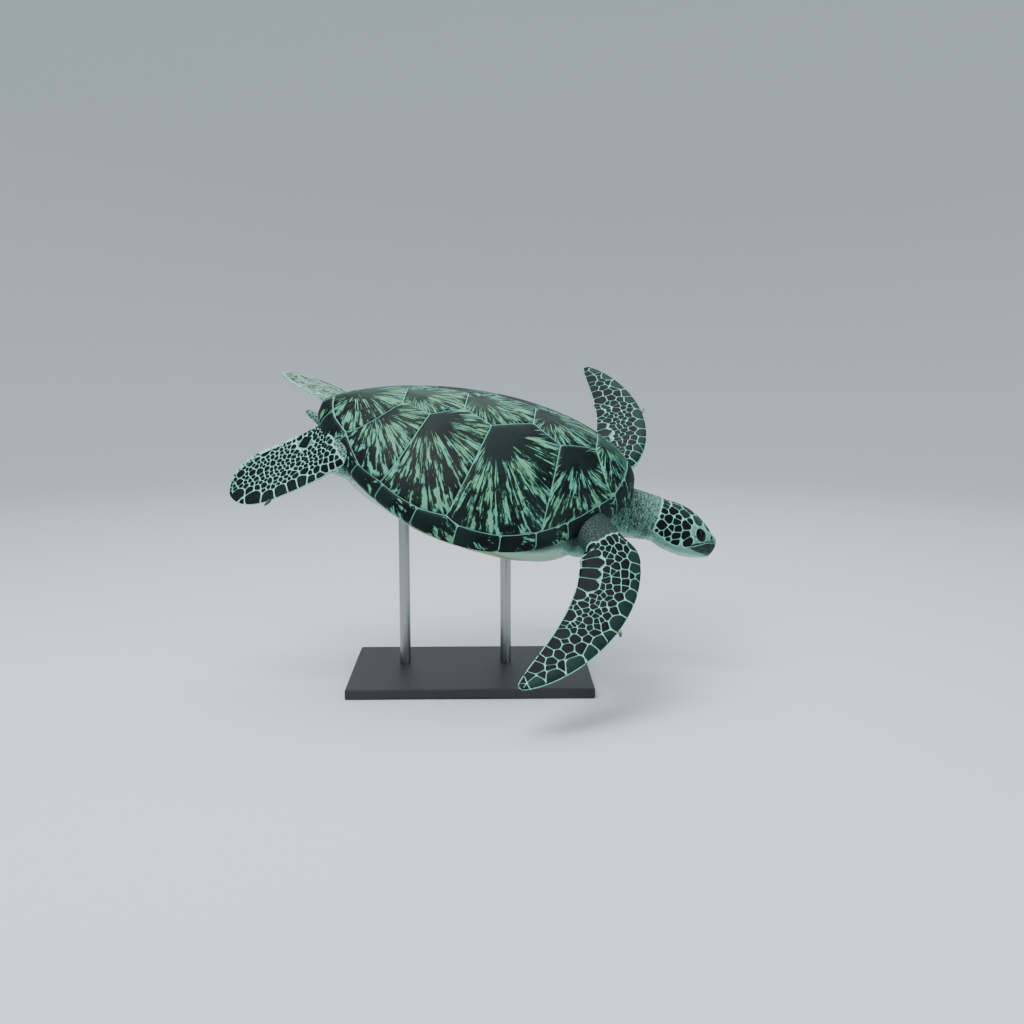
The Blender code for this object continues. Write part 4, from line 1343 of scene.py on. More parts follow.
def buildBeak(finishes):
    # each edge of the beak is a band: share of the head's length, and how many degrees it reaches from the mouth
    made = []
    for side, word in ((1, "right"), (-1, "left")):
        for name, key, way, finish in (("beak_upper_", "upper", -1, finishes["beakUpper"]),
                                       ("beak_lower_", "lower", 1, finishes["beakLower"])):
            rows, edges, fore = [], [], []
            for share in np.linspace(beak[key][0][0], beak["end"], 60):
                mouth = float(mouthTurn(np.array(share)))
                opened = mouth + way * beak["gap"] / max(float(eased(np.array([share]), "wide")[0]), 0.02)
                span = math.radians(np.interp(share, *np.array(beak[key]).T))
                last = np.clip(mouth + way * span, 0, math.pi)
                turns = np.linspace(opened, last, 28)
                rows.append(headPlace(headShape(np.full(28, share), side * turns) * beak["drawn"]))
                edges.append(np.abs(turns - opened) * headRadius)
                fore.append(np.full(28, share))
            values = {"across": np.concatenate(edges), "fore": np.concatenate(fore)}
            made.append(stripPiece(name + word, rows, finish, values))
    return made


nostril = {"share": 0.862, "turn": 30, "half": (0.0033, 0.0022, 0.0046), "sunk": 0.0033}


def nostrilPlace(side):
    out = headShape(np.array(nostril["share"]), np.array(side * math.radians(nostril["turn"])))
    facing = np.array([0.35, -side * 0.60, 0.72])
    return out - facing * nostril["sunk"]


def buildNostrilShadows(finish):
    # each nostril is filled by a near-black ellipsoid sunk in the dent: painted shade for the dark inside of the
    # opening
    for side, word in ((1, "right"), (-1, "left")):
        unit, faces = ballGrid(20, 12)
        lean = math.radians(-24)
        x, z = unit[:, 0] * nostril["half"][0], unit[:, 2] * nostril["half"][2]
        points = np.stack([x * math.cos(lean) + z * math.sin(lean), unit[:, 1] * nostril["half"][1],
                           z * math.cos(lean) - x * math.sin(lean)], 1)
        piece = addPiece("nostril_" + word, toWorld(headPlace(nostrilPlace(side) + points)), faces, finish)
        outwards(piece)


def outwards(piece):
    shape = bmesh.new()
    shape.from_mesh(piece.data)
    bmesh.ops.recalc_face_normals(shape, faces=shape.faces)
    shape.to_mesh(piece.data)
    shape.free()


eyes = {"open": (0.0122, 0.0172), "shape": (0.0172, 0.0210, 0.0150), "sunk": 0.0146, "lean": 70,
        "lidReach": (1.55, 1.36), "rings": ((0.30, 24), (0.72, 28))}


def eyeFrame(side):
    # the middle of the eye, and its ways forward, up and out of the head
    out = np.array([0.20, side * 0.93, 0.28])
    out /= np.linalg.norm(out)
    forward = np.array([1.0, 0, -0.12])
    forward -= out * (forward @ out)
    forward /= np.linalg.norm(forward)
    up = np.cross(forward, out) * (1 if side < 0 else -1)
    if up[2] < 0:
        up = -up
    lean = math.radians(eyes["lean"])
    return forward * math.cos(lean) + up * math.sin(lean), up * math.cos(lean) - forward * math.sin(lean), out


def buildEyes(finishes, skinPiece):
    tree = treeOf(skinPiece)
    dents = []
    for side, word in ((-1, "right"), (1, "left")):
        forward, up, out = eyeFrame(side)
        surface = headShape(np.array(orbit["share"]), np.array(-side * math.radians(orbit["turn"])))
        middle = surface - out * eyes["sunk"]
        print("eye", word, middle.round(4))
        basis = np.stack([forward, up, out], 1)
        unit, faces = ballGrid(56, 40)
        unit = unit[:, [1, 2, 0]]
        ball = middle + (unit * eyes["shape"]) @ basis.T
        gaze = np.degrees(np.arccos(np.clip(unit[:, 2], -1, 1)))
        piece = addPiece("eye_ball_" + word, toWorld(headPlace(ball)), faces, finishes["eye"], {"gaze": gaze})
        outwards(piece)
        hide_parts("eye_" + word)
        # the lids: a thick ring that starts on the ball and runs out under the skin
        turns = np.linspace(0, 2 * math.pi, 96, endpoint=False)
        worldOut = Vector(bodyTurn @ headTurn @ out)
        rows, parts = [], []
        for part in np.linspace(0, 1, 20):
            wide = eyes["open"][0] * (1 + (eyes["lidReach"][0] - 1) * part)
            tall = eyes["open"][1] * (1 + (eyes["lidReach"][1] - 1) * part)
            x, y = wide * np.cos(turns), tall * np.sin(turns)
            dome = np.maximum(1 - (x / eyes["shape"][0]) ** 2 - (y / eyes["shape"][1]) ** 2, 0)
            onBall = eyes["shape"][2] * np.sqrt(dome)
            flat = middle + np.stack([x, y, np.full(len(x), 0.03)], 1) @ basis.T
            skinHigh = []
            for place in toWorld(headPlace(flat)):
                found = tree.ray_cast(Vector(place), -worldOut)[0]
                skinHigh.append(0.03 - (Vector(place) - found).length if found else 0.0)
            skinHigh = np.array(skinHigh)
            rise = step(0.0, 0.5, part)
            folds = 0.0004 * math.sin(part * 26) * step(0.12, 0.3, part) * (1 - part)
            swell = 0.0018 * math.sin(math.pi * min(part * 1.15 + 0.06, 1))
            z = onBall * (1 - rise) + skinHigh * rise + 0.0006 + swell + folds - 0.0036 * step(0.80, 1.0, part)
            rows.append(headPlace(middle + np.stack([x, y, z], 1) @ basis.T))
            parts.append(np.full(len(x), part))
        stripPiece("eyelids_" + word, rows, finishes["lid"], {"part": np.concatenate(parts)}, 0.0020, True)
        buildLidScales(word, np.array(rows), side < 0, finishes["lidScale"])
        dents.append((middle, basis))
    points = meshPoints(skinPiece)
    inHead = (toBody(points) - head["base"]) @ headTurn
    for middle, basis in dents:
        local = (inHead - middle) @ basis
        reach = np.hypot(local[:, 0] / (eyes["open"][0] * 1.42), local[:, 1] / (eyes["open"][1] * 1.27))
        deep = 0.012 * (1 - step(0.80, 1.02, reach)) * (local[:, 2] > 0)
        inHead = inHead - deep[:, None] * basis[:, 2]
    for side in (1, -1):
        apart = inHead - nostrilPlace(side)
        reach = np.hypot(apart[:, 0] / 0.0046, apart[:, 2] / 0.0062)
        deep = 0.0036 * (1 - step(0.4, 1.15, reach)) * (inHead[:, 1] * side < 0)
        inHead = inHead - deep[:, None] * np.array([0.3, -side * 0.8, 0.5])
    # the mouth is a groove, deepest under the eye
    share = inHead[:, 0] / head["length"]
    above = inHead[:, 2] - mouthHeight(share)
    groove = 0.0030 * step(0.47, 0.60, share) * np.exp(-(above / 0.0026) ** 2) * (np.abs(inHead[:, 1]) > 0.006)
    inHead[:, 1] -= groove * np.sign(inHead[:, 1])
    moved = toWorld(headPlace(inHead))
    skinPiece.data.vertices.foreach_set("co", moved.ravel())
    skinPiece.data.update()


def buildLidScales(word, rows, flip, finish):
    # small scales in two rings on the lids
    high, wide = rows.shape[:2]
    stepAlong = 0.105 / wide

    def onLid(where):
        u = (where[:, 0] / stepAlong) % wide
        v = np.clip(where[:, 1] / 0.0085, 0, 1) * (high - 1)
        low, left = np.minimum(v.astype(int), high - 2), u.astype(int)
        right, a, b = (left + 1) % wide, (u - left)[:, None], (v - low)[:, None]
        left = left % wide
        return ((rows[low, left] * (1 - a) + rows[low, right] * a) * (1 - b)
                + (rows[low + 1, left] * (1 - a) + rows[low + 1, right] * a) * b)

    random = np.random.default_rng(9)
    seeds, sizes = [], []
    for part, count in eyes["rings"]:
        for n in range(count):
            seeds.append(((n + random.random() * 0.35) * 0.105 / count, part * 0.0085))
            sizes.append(0.0020)
    seeds = np.array(seeds)
    ghosts = np.vstack([seeds, seeds + [0.105, 0], seeds - [0.105, 0],
                        [(x, y) for x in np.arange(-0.02, 0.13, 0.004) for y in (-0.0012, 0.0100)]])
    every = np.full(len(ghosts), 0.0020)
    into = PlateSet()
    for number, cell in enumerate(cellsOf(ghosts, every, 0.0009)[:len(seeds)]):
        if cell is None:
            continue
        place = np.array([0.90 + 0.08 * seeds[number][0] / 0.105, 0.1 + 0.05 * seeds[number][1] / 0.0085])
        addScale(into, onLid, cell, flip, place, {"tone": random.random(), "green": 0.0, "pale": 0.0},
                 0.2, 2, rise=(-0.0008, 0.0006))
    return into.piece("scales_lid_" + word, "skin", finish)


def buildClaws(finish):
    for name, limb in limbs.items():
        blade, side = limb[0], limb[1]
        share = 0.46 if blade is frontBlade else 0.62
        out, along, heading = middleLine(blade, np.array([share]))
        reach = blade["ahead"] * float(halfChord(blade, np.array(share)))
        lean = float(heading[0]) + blade["ahead"] * math.radians(50)
        rows = []
        for part in np.linspace(0, 1, 12):
            sweep = 0.020 * part - 0.0035
            bend = lean - blade["ahead"] * 0.30 * part
            radius = 0.0047 * math.sqrt(max(1 - part ** 1.7, 0.0)) + 0.0002
            centre = np.array([float(out[0]) - math.sin(heading[0]) * reach + math.cos(bend) * sweep,
                               float(along[0]) + math.cos(heading[0]) * reach + math.sin(bend) * sweep])
            across = np.array([-math.sin(bend), math.cos(bend)])
            turns = np.arange(16) * math.pi / 8
            flatOut = centre[0] + across[0] * radius * np.cos(turns)
            flatAlong = centre[1] + across[1] * radius * np.cos(turns)
            rows.append(placeLimb(limb, flatOut, flatAlong, 0.75 * radius * np.sin(turns)))
        points = np.vstack(rows + [rows[0].mean(0)[None], rows[-1].mean(0)[None]])
        faces = []
        for row in range(11):
            for n in range(16):
                m = (n + 1) % 16
                faces.append([row * 16 + n, row * 16 + m, row * 16 + 16 + m, row * 16 + 16 + n])
        faces += [[192, (n + 1) % 16, n] for n in range(16)] + [[193, 176 + n, 176 + (n + 1) % 16] for n in range(16)]
        piece = addPiece(name.replace("flipper", "claw") + "_nail", toWorld(points), faces, finish)
        shape = bmesh.new()
        shape.from_mesh(piece.data)
        bmesh.ops.recalc_face_normals(shape, faces=shape.faces)
        shape.to_mesh(piece.data)
        shape.free()
        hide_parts(name.replace("flipper", "claw"))


# ---- plastron ----

plastronPlates = {"seams": (0.303, 0.262, 0.175, 0.085, -0.035, -0.145, -0.245, -0.327), "spacing": 0.009}


def buildPlastron(finishes):
    around, rings = 96, 24
    unit, faces = ballGrid(around, rings)
    unit = unit[:, [1, 2, 0]]
    reach = np.minimum(np.hypot(unit[:, 0], unit[:, 1]), 1)
    angle = np.arctan2(unit[:, 1], unit[:, 0])
    edgeX = under["middle"] + under["length"] / 2 * np.cos(angle)
    x = under["middle"] + reach * (edgeX - under["middle"])
    y = reach * plastronHalf(edgeX) * np.sign(np.sin(angle))
    depth = np.where(unit[:, 2] > 1e-4, under["thickness"], 0.0013)
    depth = np.where(reach > 0.999, 0.005, depth)
    points = bellySurface(np.stack([x, y], 1), depth[:, None])
    bed = addPiece("plastron_bed", toWorld(points), faces, finishes["bed"])
    shape = bmesh.new()
    shape.from_mesh(bed.data)
    bmesh.ops.recalc_face_normals(shape, faces=shape.faces)
    shape.to_mesh(bed.data)
    shape.free()
    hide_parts("plastron")
    into = PlateSet()
    seams = plastronPlates["seams"]
    lowered = lambda where: bellySurface(where, 0.0012)
    for side in (1, -1):
        for number, (first, last) in enumerate(zip(seams[:-1], seams[1:])):
            xs = np.linspace(first, last, 12)
            bridge = 0.152
            outer = np.minimum(plastronHalf(xs) - 0.001, bridge)
            loop = [(xs[0], 0.0008)] + list(zip(xs, np.maximum(outer, 0.004))) + [(xs[-1], 0.0008)]
            loop = np.array(loop) * [1, side]
            centre = np.array([first * 0.4 + last * 0.6, 0.3 * side * outer.max()])
            layPlate(into, lowered, loop, centre, number + (10 if side < 0 else 0), side,
                     plastronPlates["spacing"], 0.0007, 0.0011, 0.0030, 0.005, flip=True)
        cuts = np.linspace(0.135, -0.105, 5)
        for number, (first, last) in enumerate(zip(cuts[:-1], cuts[1:])):
            xs = np.linspace(first, last, 8)
            outer = plastronHalf(xs) - 0.003
            loop = [(x, 0.154) for x in xs] + [(x, max(y, 0.160)) for x, y in zip(xs[::-1], outer[::-1])]
            loop = np.array(loop) * [1, side]
            layPlate(into, lowered, loop, loop.mean(0), 20 + number, side,
                     plastronPlates["spacing"], 0.0007, 0.0011, 0.0030, 0.005, flip=True)
    into.piece("scutes_plastron", "plastron", finishes["plate"])


# ---- finishes of the pieces ----

tints = {"ray": paint(84, 158, 136), "rayWarm": paint(98, 156, 122), "dark": paint(4, 11, 13),
         "darkGreen": paint(13, 32, 30), "seam": paint(146, 212, 198), "skin": paint(98, 150, 134),
         "skinDark": paint(26, 52, 48), "throat": paint(160, 198, 176), "scale": paint(3, 9, 13),
         "scaleGreen": paint(26, 54, 48), "plastron": paint(206, 204, 168), "plastronSeam": paint(146, 162, 134),
         "plastronShade": paint(190, 194, 150), "heart": paint(34, 66, 54), "horn": paint(8, 20, 24), "hornPale": paint(128, 140, 116),
         "beakPale": paint(108, 160, 144), "beakDark": paint(24, 52, 50), "eye": paint(1, 2, 3),
         "iris": paint(14, 14, 12), "lidDark": paint(44, 82, 78), "lid": paint(92, 152, 138),
         "stand": paint(30, 32, 34), "rod": paint(150, 152, 154)}


def scuteFinish(name, size, cover, heart, fine=30.0, broad=10.0):
    # streaks that spread from each plate's growth centre, which is dark; lengths are shares of the plate's own size
    made = Finish(name, roughness=0.5, Specular_IOR_Level=0.12)
    streak, number = made.attribute("streak", "Vector"), made.attribute("number")
    turnX, turnY, reach = made.split(streak)
    wander = made.noise(made.coords(), 30.0, 3.0)
    blotch = made.noise(made.coords(), 11.0, 3.0)
    wobble = (wander - 0.5) * 1.5

    def rays(count, run, shift, detail, rough):
        place = made.node("CombineXYZ", {}, [turnX * count + wobble, turnY * count + wobble,
                                             reach * run + number * 7.3 + shift])
        return made.noise(place, 1.0, detail, rough, 0.35)
    long = rays(fine, 2.2, 0.0, 4.0, 0.62)
    patch = rays(broad, 2.8, 3.0, 3.0, 0.55)
    near = reach + (wander - 0.5) * 0.20 + (patch - 0.5) * 0.45
    centre = 1 - near.ramp(size * 0.45, size * 1.25)
    far = reach.ramp(size * 2.0, size * 3.6)
    level = long * 0.72 + patch * 0.50 - 0.630 - centre * 0.24 - far * 0.015 + cover
    mask = (level * 10.0 + 0.5).ramp(0.08, 0.92)
    darkTone = made.blend(blotch.ramp(0.35, 0.7), tints["dark"], tints["darkGreen"])
    darkTone = made.blend(centre * blotch.ramp(0.30, 0.62), darkTone, heart)
    rayTone = made.blend((wander * 0.7 + blotch * 0.4).ramp(0.42, 0.68), tints["ray"], tints["rayWarm"])
    colour = made.blend(mask * (1.12 - blotch * 0.35), darkTone, rayTone)
    edge = 1 - made.attribute("away").ramp(0.0001, 0.0010)
    colour = made.blend(edge * 0.5, colour, tints["seam"])
    ripple = made.noise(made.coords(), 150.0, 3.0)
    rings = (made.attribute("away") * 800.0 + wander * 5.0).sine()
    height = ripple * 0.5 + mask * 0.10 + rings * 0.05
    made.wear(Base_Color=colour, Roughness=0.38 + ripple * 0.2, Normal=made.bump(height, 0.25, 0.0011))
    return made.material


def bedFinish():
    made = Finish("seam layer", roughness=0.6)
    speck = made.noise(made.coords(), 60.0, 3.0)
    made.wear(Base_Color=made.blend(speck * 0.5, tints["seam"], tints["ray"]))
    return made.material


def scaleFinish(name, paleEdge=0.8):
    made = Finish(name, roughness=0.5, Specular_IOR_Level=0.10)
    tone, rim, green = made.attribute("tone"), made.attribute("rim"), made.attribute("green")
    cloud = made.noise(made.coords(), 70.0, 3.0)
    grain = made.noise(made.coords(), 420.0, 2.0)
    base = made.blend((green * 0.95 + cloud * 0.45 + tone * 0.25 - 0.25).ramp(0, 1), tints["scale"],
                      tints["scaleGreen"])
    base = made.blend((green - 0.60) * (cloud * 0.9 + 0.5), base, tints["lidDark"])
    base = made.blend(made.attribute("pale") * (0.75 + tone * 0.25), base, tints["throat"])
    edge = (rim + (cloud - 0.5) * 0.06).ramp(0.955, 1.0)
    colour = made.blend(edge * paleEdge, base, tints["seam"])
    made.wear(Base_Color=colour, Roughness=0.40 + grain * 0.2, Normal=made.bump(grain, 0.25, 0.0006))
    return made.material


def granuleFinish():
    made = Finish("small scale", roughness=0.5, Specular_IOR_Level=0.25)
    tone, deep = made.attribute("tone"), made.attribute("deep")
    grain = made.noise(made.coords(), 420.0, 2.0)
    # shade: the small scales' own dark colour on the upper side, and the painted shade near the shell
    shade = (deep * 1.15 + (tone - 0.5) * 0.22 - 0.06).ramp(0.05, 0.95)
    paleTone = made.blend(grain * 0.6, tints["skin"], tints["throat"])
    made.wear(Base_Color=made.blend(shade, paleTone, made.blend(tone, tints["scale"], tints["skinDark"])),
              Roughness=0.42 + grain * 0.2, Normal=made.bump(grain, 0.25, 0.0005))
    return made.material


def skinFinish():
    made = Finish("skin", roughness=0.55, Specular_IOR_Level=0.30)
    scaleMarkAndMouthShadow, deep, pale = made.attribute("scaleMarkAndMouthShadow"), made.attribute("deep"), made.attribute("pale")
    body = made.attribute("body", "Vector")
    cloud = made.noise(made.coords(), 26.0, 4.0)
    speck = made.noise(made.coords(), 190.0, 3.0)
    pebble = made.cells(made.coords(), 260.0)
    crease = made.noise(made.stretch(body, (230.0, 42.0, 42.0)), 1.0, 3.0, 0.6, 0.4)
    loose = made.attribute("loose")
    base = made.blend((cloud * 0.8 + pale - 0.3).ramp(0.2, 0.8), tints["skin"], tints["throat"])
    # deep darkens the skin: its upper side's own colour, and the painted shade near and under the shell
    base = made.blend((deep * (0.62 + speck * 0.6 + (crease - 0.5) * loose * 2.6)).ramp(0.12, 0.85), base,
                      tints["skinDark"])
    colour = made.blend(made.attribute("glow") * (0.75 + speck * 0.4), base, tints["seam"])
    # dark under the scales, and painted shadow above the mouth line
    colour = made.blend(scaleMarkAndMouthShadow, colour, tints["scale"])
    height = (1 - pebble) * 0.6 + speck * 0.4 + crease * loose * 2.5
    made.wear(Base_Color=colour, Roughness=0.50 + speck * 0.15, Normal=made.bump(height, 0.4, 0.0010))
    return made.material


def lidFinish():
    made = Finish("eyelid", roughness=0.5, Specular_IOR_Level=0.25)
    part = made.attribute("part")
    pebble = made.cells(made.coords(), 330.0)
    cloud = made.noise(made.coords(), 120.0, 3.0)
    colour = made.blend((pebble * 1.2).ramp(0.30, 0.60), tints["lidDark"], tints["lid"])
    colour = made.blend(cloud * 0.4, colour, tints["skin"])
    colour = made.blend(1 - part.ramp(0.02, 0.12), colour, tints["dark"])
    colour = made.blend(part.ramp(0.74, 0.98) * 0.7, colour, tints["lidDark"])
    made.wear(Base_Color=colour, Normal=made.bump(1 - pebble, 0.5, 0.0012))
    return made.material


def lidScaleFinish():
    made = Finish("eyelid scale", roughness=0.5, Specular_IOR_Level=0.25)
    tone, rim = made.attribute("tone"), made.attribute("rim")
    cloud = made.noise(made.coords(), 60.0, 3.0)
    colour = made.blend((tone * 0.6 + cloud * 0.8).ramp(0.35, 0.95), tints["lidDark"], tints["seam"])
    colour = made.blend(rim.ramp(0.80, 1.0) * 0.6, colour, tints["lid"])
    made.wear(Base_Color=colour)
    return made.material


def eyeFinish():
    made = Finish("eye", roughness=0.05, Specular_IOR_Level=0.14)
    gaze = made.attribute("gaze")
    fibre = made.noise(made.coords(), 500.0, 3.0)
    colour = made.blend((gaze + fibre * 4.0).ramp(26, 30), tints["eye"], tints["iris"])
    colour = made.blend((gaze + fibre * 3.0).ramp(50, 56), colour, tints["eye"])
    made.wear(Base_Color=colour)
    return made.material


def hornFinish(name, first, second, scale=60.0):
    made = Finish(name, roughness=0.38, Specular_IOR_Level=0.3)
    fibre = made.noise(made.stretch(made.coords(), (1.0, 1.0, 0.25)), scale, 4.0)
    fine = made.noise(made.coords(), 300.0, 3.0)
    made.wear(Base_Color=made.blend(fibre.ramp(0.35, 0.65), first, second),
              Roughness=0.34 + fine * 0.18, Normal=made.bump(fine + fibre, 0.25, 0.0006))
    return made.material


def beakFinish(name, first, second, lipTintAndShadow, lipWidth, outer, fade):
    # the cutting edge has its own band of colour, on the upper beak a painted shadow of the mouth gap over dark horn,
    # and the far edge fades towards the skin
    made = Finish(name, roughness=0.45, Specular_IOR_Level=0.2)
    across, fore = made.attribute("across"), made.attribute("fore")
    fibre = made.noise(made.stretch(made.coords(), (1.0, 1.0, 0.3)), 90.0, 4.0)
    fine = made.noise(made.coords(), 300.0, 3.0)
    colour = made.blend(fibre.ramp(0.40, 0.62), first, second)
    colour = made.blend((across + (fibre - 0.5) * 0.012).ramp(*fade) * 0.75, colour, outer)
    # the band along the mouth: a pale edge on the lower beak; on the upper beak painted shadow of the mouth gap over
    # dark horn
    colour = made.blend((1 - across.ramp(lipWidth * 0.5, lipWidth)) * (1 - fore.ramp(0.88, 0.95)), colour, lipTintAndShadow)
    colour = made.blend((fore + (fibre - 0.5) * 0.03).ramp(0.945, 0.985) * 0.8, colour, tints["beakDark"])
    made.wear(Base_Color=colour, Roughness=0.40 + fine * 0.18, Normal=made.bump(fine + fibre, 0.2, 0.0006))
    return made.material


def plastronFinish():
    made = Finish("plastron plate", roughness=0.42)
    cloud = made.noise(made.coords(), 14.0, 4.0)
    fine = made.noise(made.coords(), 130.0, 3.0)
    edge = 1 - made.attribute("away").ramp(0.0003, 0.0030)
    colour = made.blend(cloud.ramp(0.3, 0.75), tints["plastron"], tints["plastronShade"])
    colour = made.blend(edge * 0.5, colour, tints["plastronSeam"])
    made.wear(Base_Color=colour, Roughness=0.36 + fine * 0.18, Normal=made.bump(fine, 0.2, 0.001))
    return made.material


def plainFinish(name, tint, roughness, metallic=0.0, grain=200.0, strength=0.05):
    made = Finish(name, roughness=roughness, Metallic=metallic)
    fine = made.noise(made.coords(), grain, 3.0)
    made.wear(Base_Color=made.blend(fine * 0.4, tint, tuple(part * 0.8 for part in tint)),
              Roughness=roughness + fine * 0.08 - 0.04, Normal=made.bump(fine, strength, 0.0005))
    return made.material


def buildStand():
    base = plainFinish("stand base", tints["stand"], 0.45)
    rod = plainFinish("stand rod", tints["rod"], 0.28, 1.0, 900.0, 0.02)
    for name, finish in (("stand_base", base), ("stand_rod_front", rod), ("stand_rod_rear", rod)):
        mesh = nodes[name].data
        mesh.materials.clear()
        mesh.materials.append(finish)


def paintSkin(piece, scalePieces):
    # the skin under each scale is as dark as the scale, and a painted shadow darkens the skin just above the mouth
    # line
    points = meshPoints(piece)
    local = toBody(points)
    dark = []
    for scalePiece in scalePieces:
        rims = np.zeros(len(scalePiece.data.vertices))
        scalePiece.data.attributes["rim"].data.foreach_get("value", rims)
        sizes = np.zeros(len(rims))
        scalePiece.data.attributes["size"].data.foreach_get("value", sizes)
        inner = (1 - rims) * sizes * 0.5 > 0.0022
        dark.append(meshPoints(scalePiece)[inner])
    dark = np.vstack(dark)
    tree = nearestTable(dark)
    reach = np.array([tree.find(point)[2] for point in points])
    scaleMarkAndMouthShadow = np.clip(1 - (reach - 0.0012) / 0.0014, 0, 1)
    edges = nearestTable(np.vstack([meshPoints(scalePiece) for scalePiece in scalePieces]))
    glow = 1 - step(0.0026, 0.0052, np.array([edges.find(point)[2] for point in points]))
    inHead = (local - head["base"]) @ headTurn
    share = inHead[:, 0] / head["length"]
    above = inHead[:, 2] - mouthHeight(share)
    # painted shadow: a dark band on the skin just above the mouth line, where the upper beak overhangs
    shadow = step(0.49, 0.58, share) * (1 - step(0.80, 0.90, share)) * (np.abs(inHead[:, 1]) > 0.012)
    scaleMarkAndMouthShadow = np.maximum(scaleMarkAndMouthShadow, 0.9 * shadow * step(-0.0035, -0.0005, above) * (1 - step(0.0030, 0.0055, above)))
    facing = np.zeros(len(points) * 3)
    piece.data.vertices.foreach_get("normal", facing)
    facing = facing.reshape(-1, 3) @ bodyTurn
    regions = granuleRegions(local)
    # deep: the upper side's own dark colour times the painted shade near and under the shell
    deep = np.clip(regions[1] * regions[4], 0, 1)
    pale = step(0.15, 0.75, -facing[:, 2]) * 0.9
    neck = regions[3] * (1 - step(0.02, 0.06, inHead[:, 0]))
    nape = step(0.40, 0.50, local[:, 0]) * step(0.02, 0.06, local[:, 2])
    deep = np.where(neck > 0.2, deep * (0.72 - 0.35 * nape), deep)
    deep = deep * (1 - step(-0.004, 0.030, inHead[:, 0])) * (0.45 + 0.55 * step(-0.1, 0.1, local[:, 0]))
    for key, values in (("scaleMarkAndMouthShadow", scaleMarkAndMouthShadow), ("deep", deep), ("pale", pale), ("loose", neck), ("glow", glow)):
        layer = piece.data.attributes.new(key, "FLOAT", "POINT")
        layer.data.foreach_set("value", values)
    layer = piece.data.attributes.new("body", "FLOAT_VECTOR", "POINT")
    layer.data.foreach_set("vector", local.ravel())


stageSizes = {"flat": 4.6, "bend": 3.0, "height": 4.6}


def buildStage():
    # a round floor that curves up into the backdrop
    radius = stageSizes["bend"]
    turns = np.linspace(0, math.pi / 2, 17)[1:]
    profile = [(0.0, 0.0), (stageSizes["flat"], 0.0),
               *zip(stageSizes["flat"] + radius * np.sin(turns), radius - radius * np.cos(turns)),
               (stageSizes["flat"] + radius, stageSizes["height"])]
    mesh = bpy.data.meshes.new("floor")
    mesh.from_pydata([(out, 0, up - 0.0005) for out, up in profile], [(n, n + 1) for n in range(len(profile) - 1)], [])
    floor = bpy.data.objects.new("floor", mesh)
    bpy.context.scene.collection.objects.link(floor)
    deselect()
    bpy.context.view_layer.objects.active = floor
    turned = floor.modifiers.new("turned", "SCREW")
    turned.axis, turned.steps, turned.render_steps, turned.use_merge_vertices = "Z", 96, 96, True
    turned.use_normal_calculate, turned.use_normal_flip = True, False
    bpy.ops.object.modifier_apply(modifier=turned.name)
    mesh = floor.data
    if sum(face.normal.z * face.area for face in mesh.polygons) < 0:
        mesh.flip_normals()
    mesh.shade_smooth()
    ground = Finish("pale ground", roughness=0.9)
    ground.put(ground.shader.inputs["Base Color"], (0.66, 0.71, 0.74))
    mesh.materials.append(ground.material)
    floor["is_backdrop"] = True
    for place, power, size, tint in (((-1.0, -1.6, 3.6), 175, 2.4, (1, 0.98, 0.95)),
                                     ((2.9, -2.4, 1.4), 34, 2.0, (0.93, 0.97, 1)),
                                     ((0.4, 1.6, 4.4), 165, 4.0, (0.95, 0.98, 1))):
        data = bpy.data.lights.new("soft light", "AREA")
        data.energy, data.size, data.color = power, size, tint
        light = bpy.data.objects.new("soft light", data)
        light.location = place
        light.rotation_euler = (Vector((0, 0, 0.5)) - Vector(place)).to_track_quat("-Z", "Y").to_euler()
        bpy.context.scene.collection.objects.link(light)
    world = bpy.data.worlds.new("room")
    world.use_nodes = True
    world.node_tree.nodes["Background"].inputs["Color"].default_value = (0.80, 0.90, 1.0, 1)
    world.node_tree.nodes["Background"].inputs["Strength"].default_value = 0.5
    bpy.context.scene.world = world


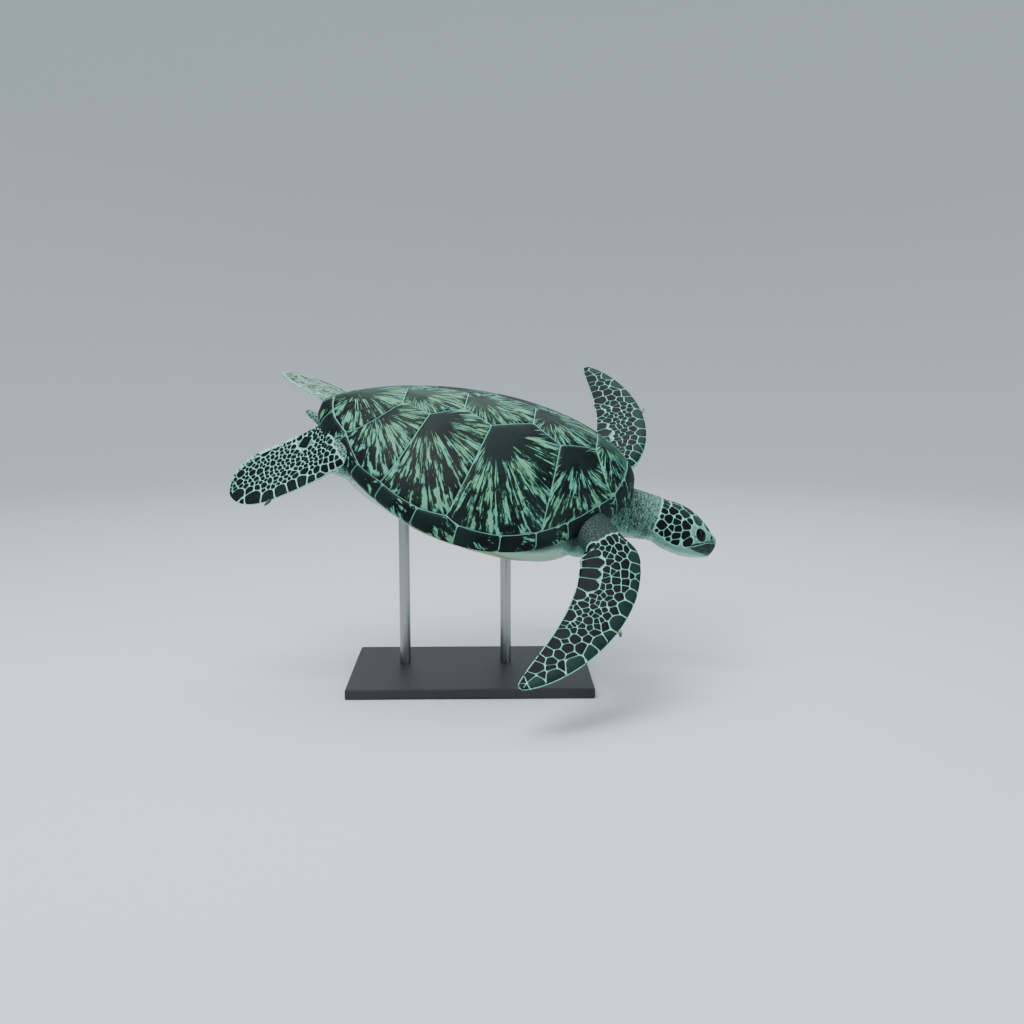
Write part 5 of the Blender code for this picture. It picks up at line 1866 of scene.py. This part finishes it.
def buildCamera():
    data = bpy.data.cameras.new("camera")
    data.lens, data.sensor_width = 43.24, 36
    camera = bpy.data.objects.new("camera", data)
    camera.location = (0.0359, -3.0605, 0.8529)
    camera.rotation_euler = Vector((0.02223202, 0.99001848, -0.1391731)).to_track_quat("-Z", "Y").to_euler()
    bpy.context.scene.collection.objects.link(camera)
    bpy.context.scene.camera = camera


def writeSizes():
    sizes = {"cad": [list(corner) for corner in cadBox], "visual": [list(corner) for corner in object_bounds()]}
    for key, value in sizes.items():
        print(key, [[round(part, 4) for part in corner] for corner in value])


scale = scaleFinish("scale")
skinPiece, blades = buildSkin(skinFinish())
shapeSkin(skinPiece, blades)
buildEyes({"eye": eyeFinish(), "lid": lidFinish(), "lidScale": lidScaleFinish()}, skinPiece)
buildShellBed(bedFinish())
buildShell({"spine": scuteFinish("spine plate", 0.28, -0.004, tints["heart"]),
            "rib": scuteFinish("rib plate", 0.34, -0.013, tints["darkGreen"]),
            "rim": scuteFinish("rim plate", 0.60, -0.048, tints["darkGreen"], 10.0, 4.0)})
print("shell plates laid")
scalePieces = buildLimbScales(scale, skinPiece)
scalePieces.append(buildHeadScales(scale, skinPiece))
print("scales laid")
paintSkin(skinPiece, scalePieces)
scatterGranules(skinPiece, scalePieces, granuleFinish())
print("small scales scattered")
# the upper beak's dark horn band, 4.6 mm wide along the mouth, is painted shadow of the mouth gap over a dark cutting
# edge
buildBeak({"beakUpper": beakFinish("upper beak", tints["beakPale"], tints["lidDark"], tints["horn"], 0.0046,
                                   tints["lid"], (0.016, 0.050)),
           "beakLower": beakFinish("lower beak", tints["horn"], tints["beakDark"], tints["seam"], 0.0016,
                                   tints["skin"], (0.034, 0.075))})
# the nostrils' near-black finish is painted shade
buildNostrilShadows(plainFinish("nostril", tints["eye"], 0.6))
buildClaws(hornFinish("claw", tints["hornPale"], tints["horn"]))
buildPlastron({"bed": plainFinish("plastron seam", tints["plastronSeam"], 0.6), "plate": plastronFinish()})
buildStand()
print("pieces made")
buildStage()
buildCamera()
writeSizes()
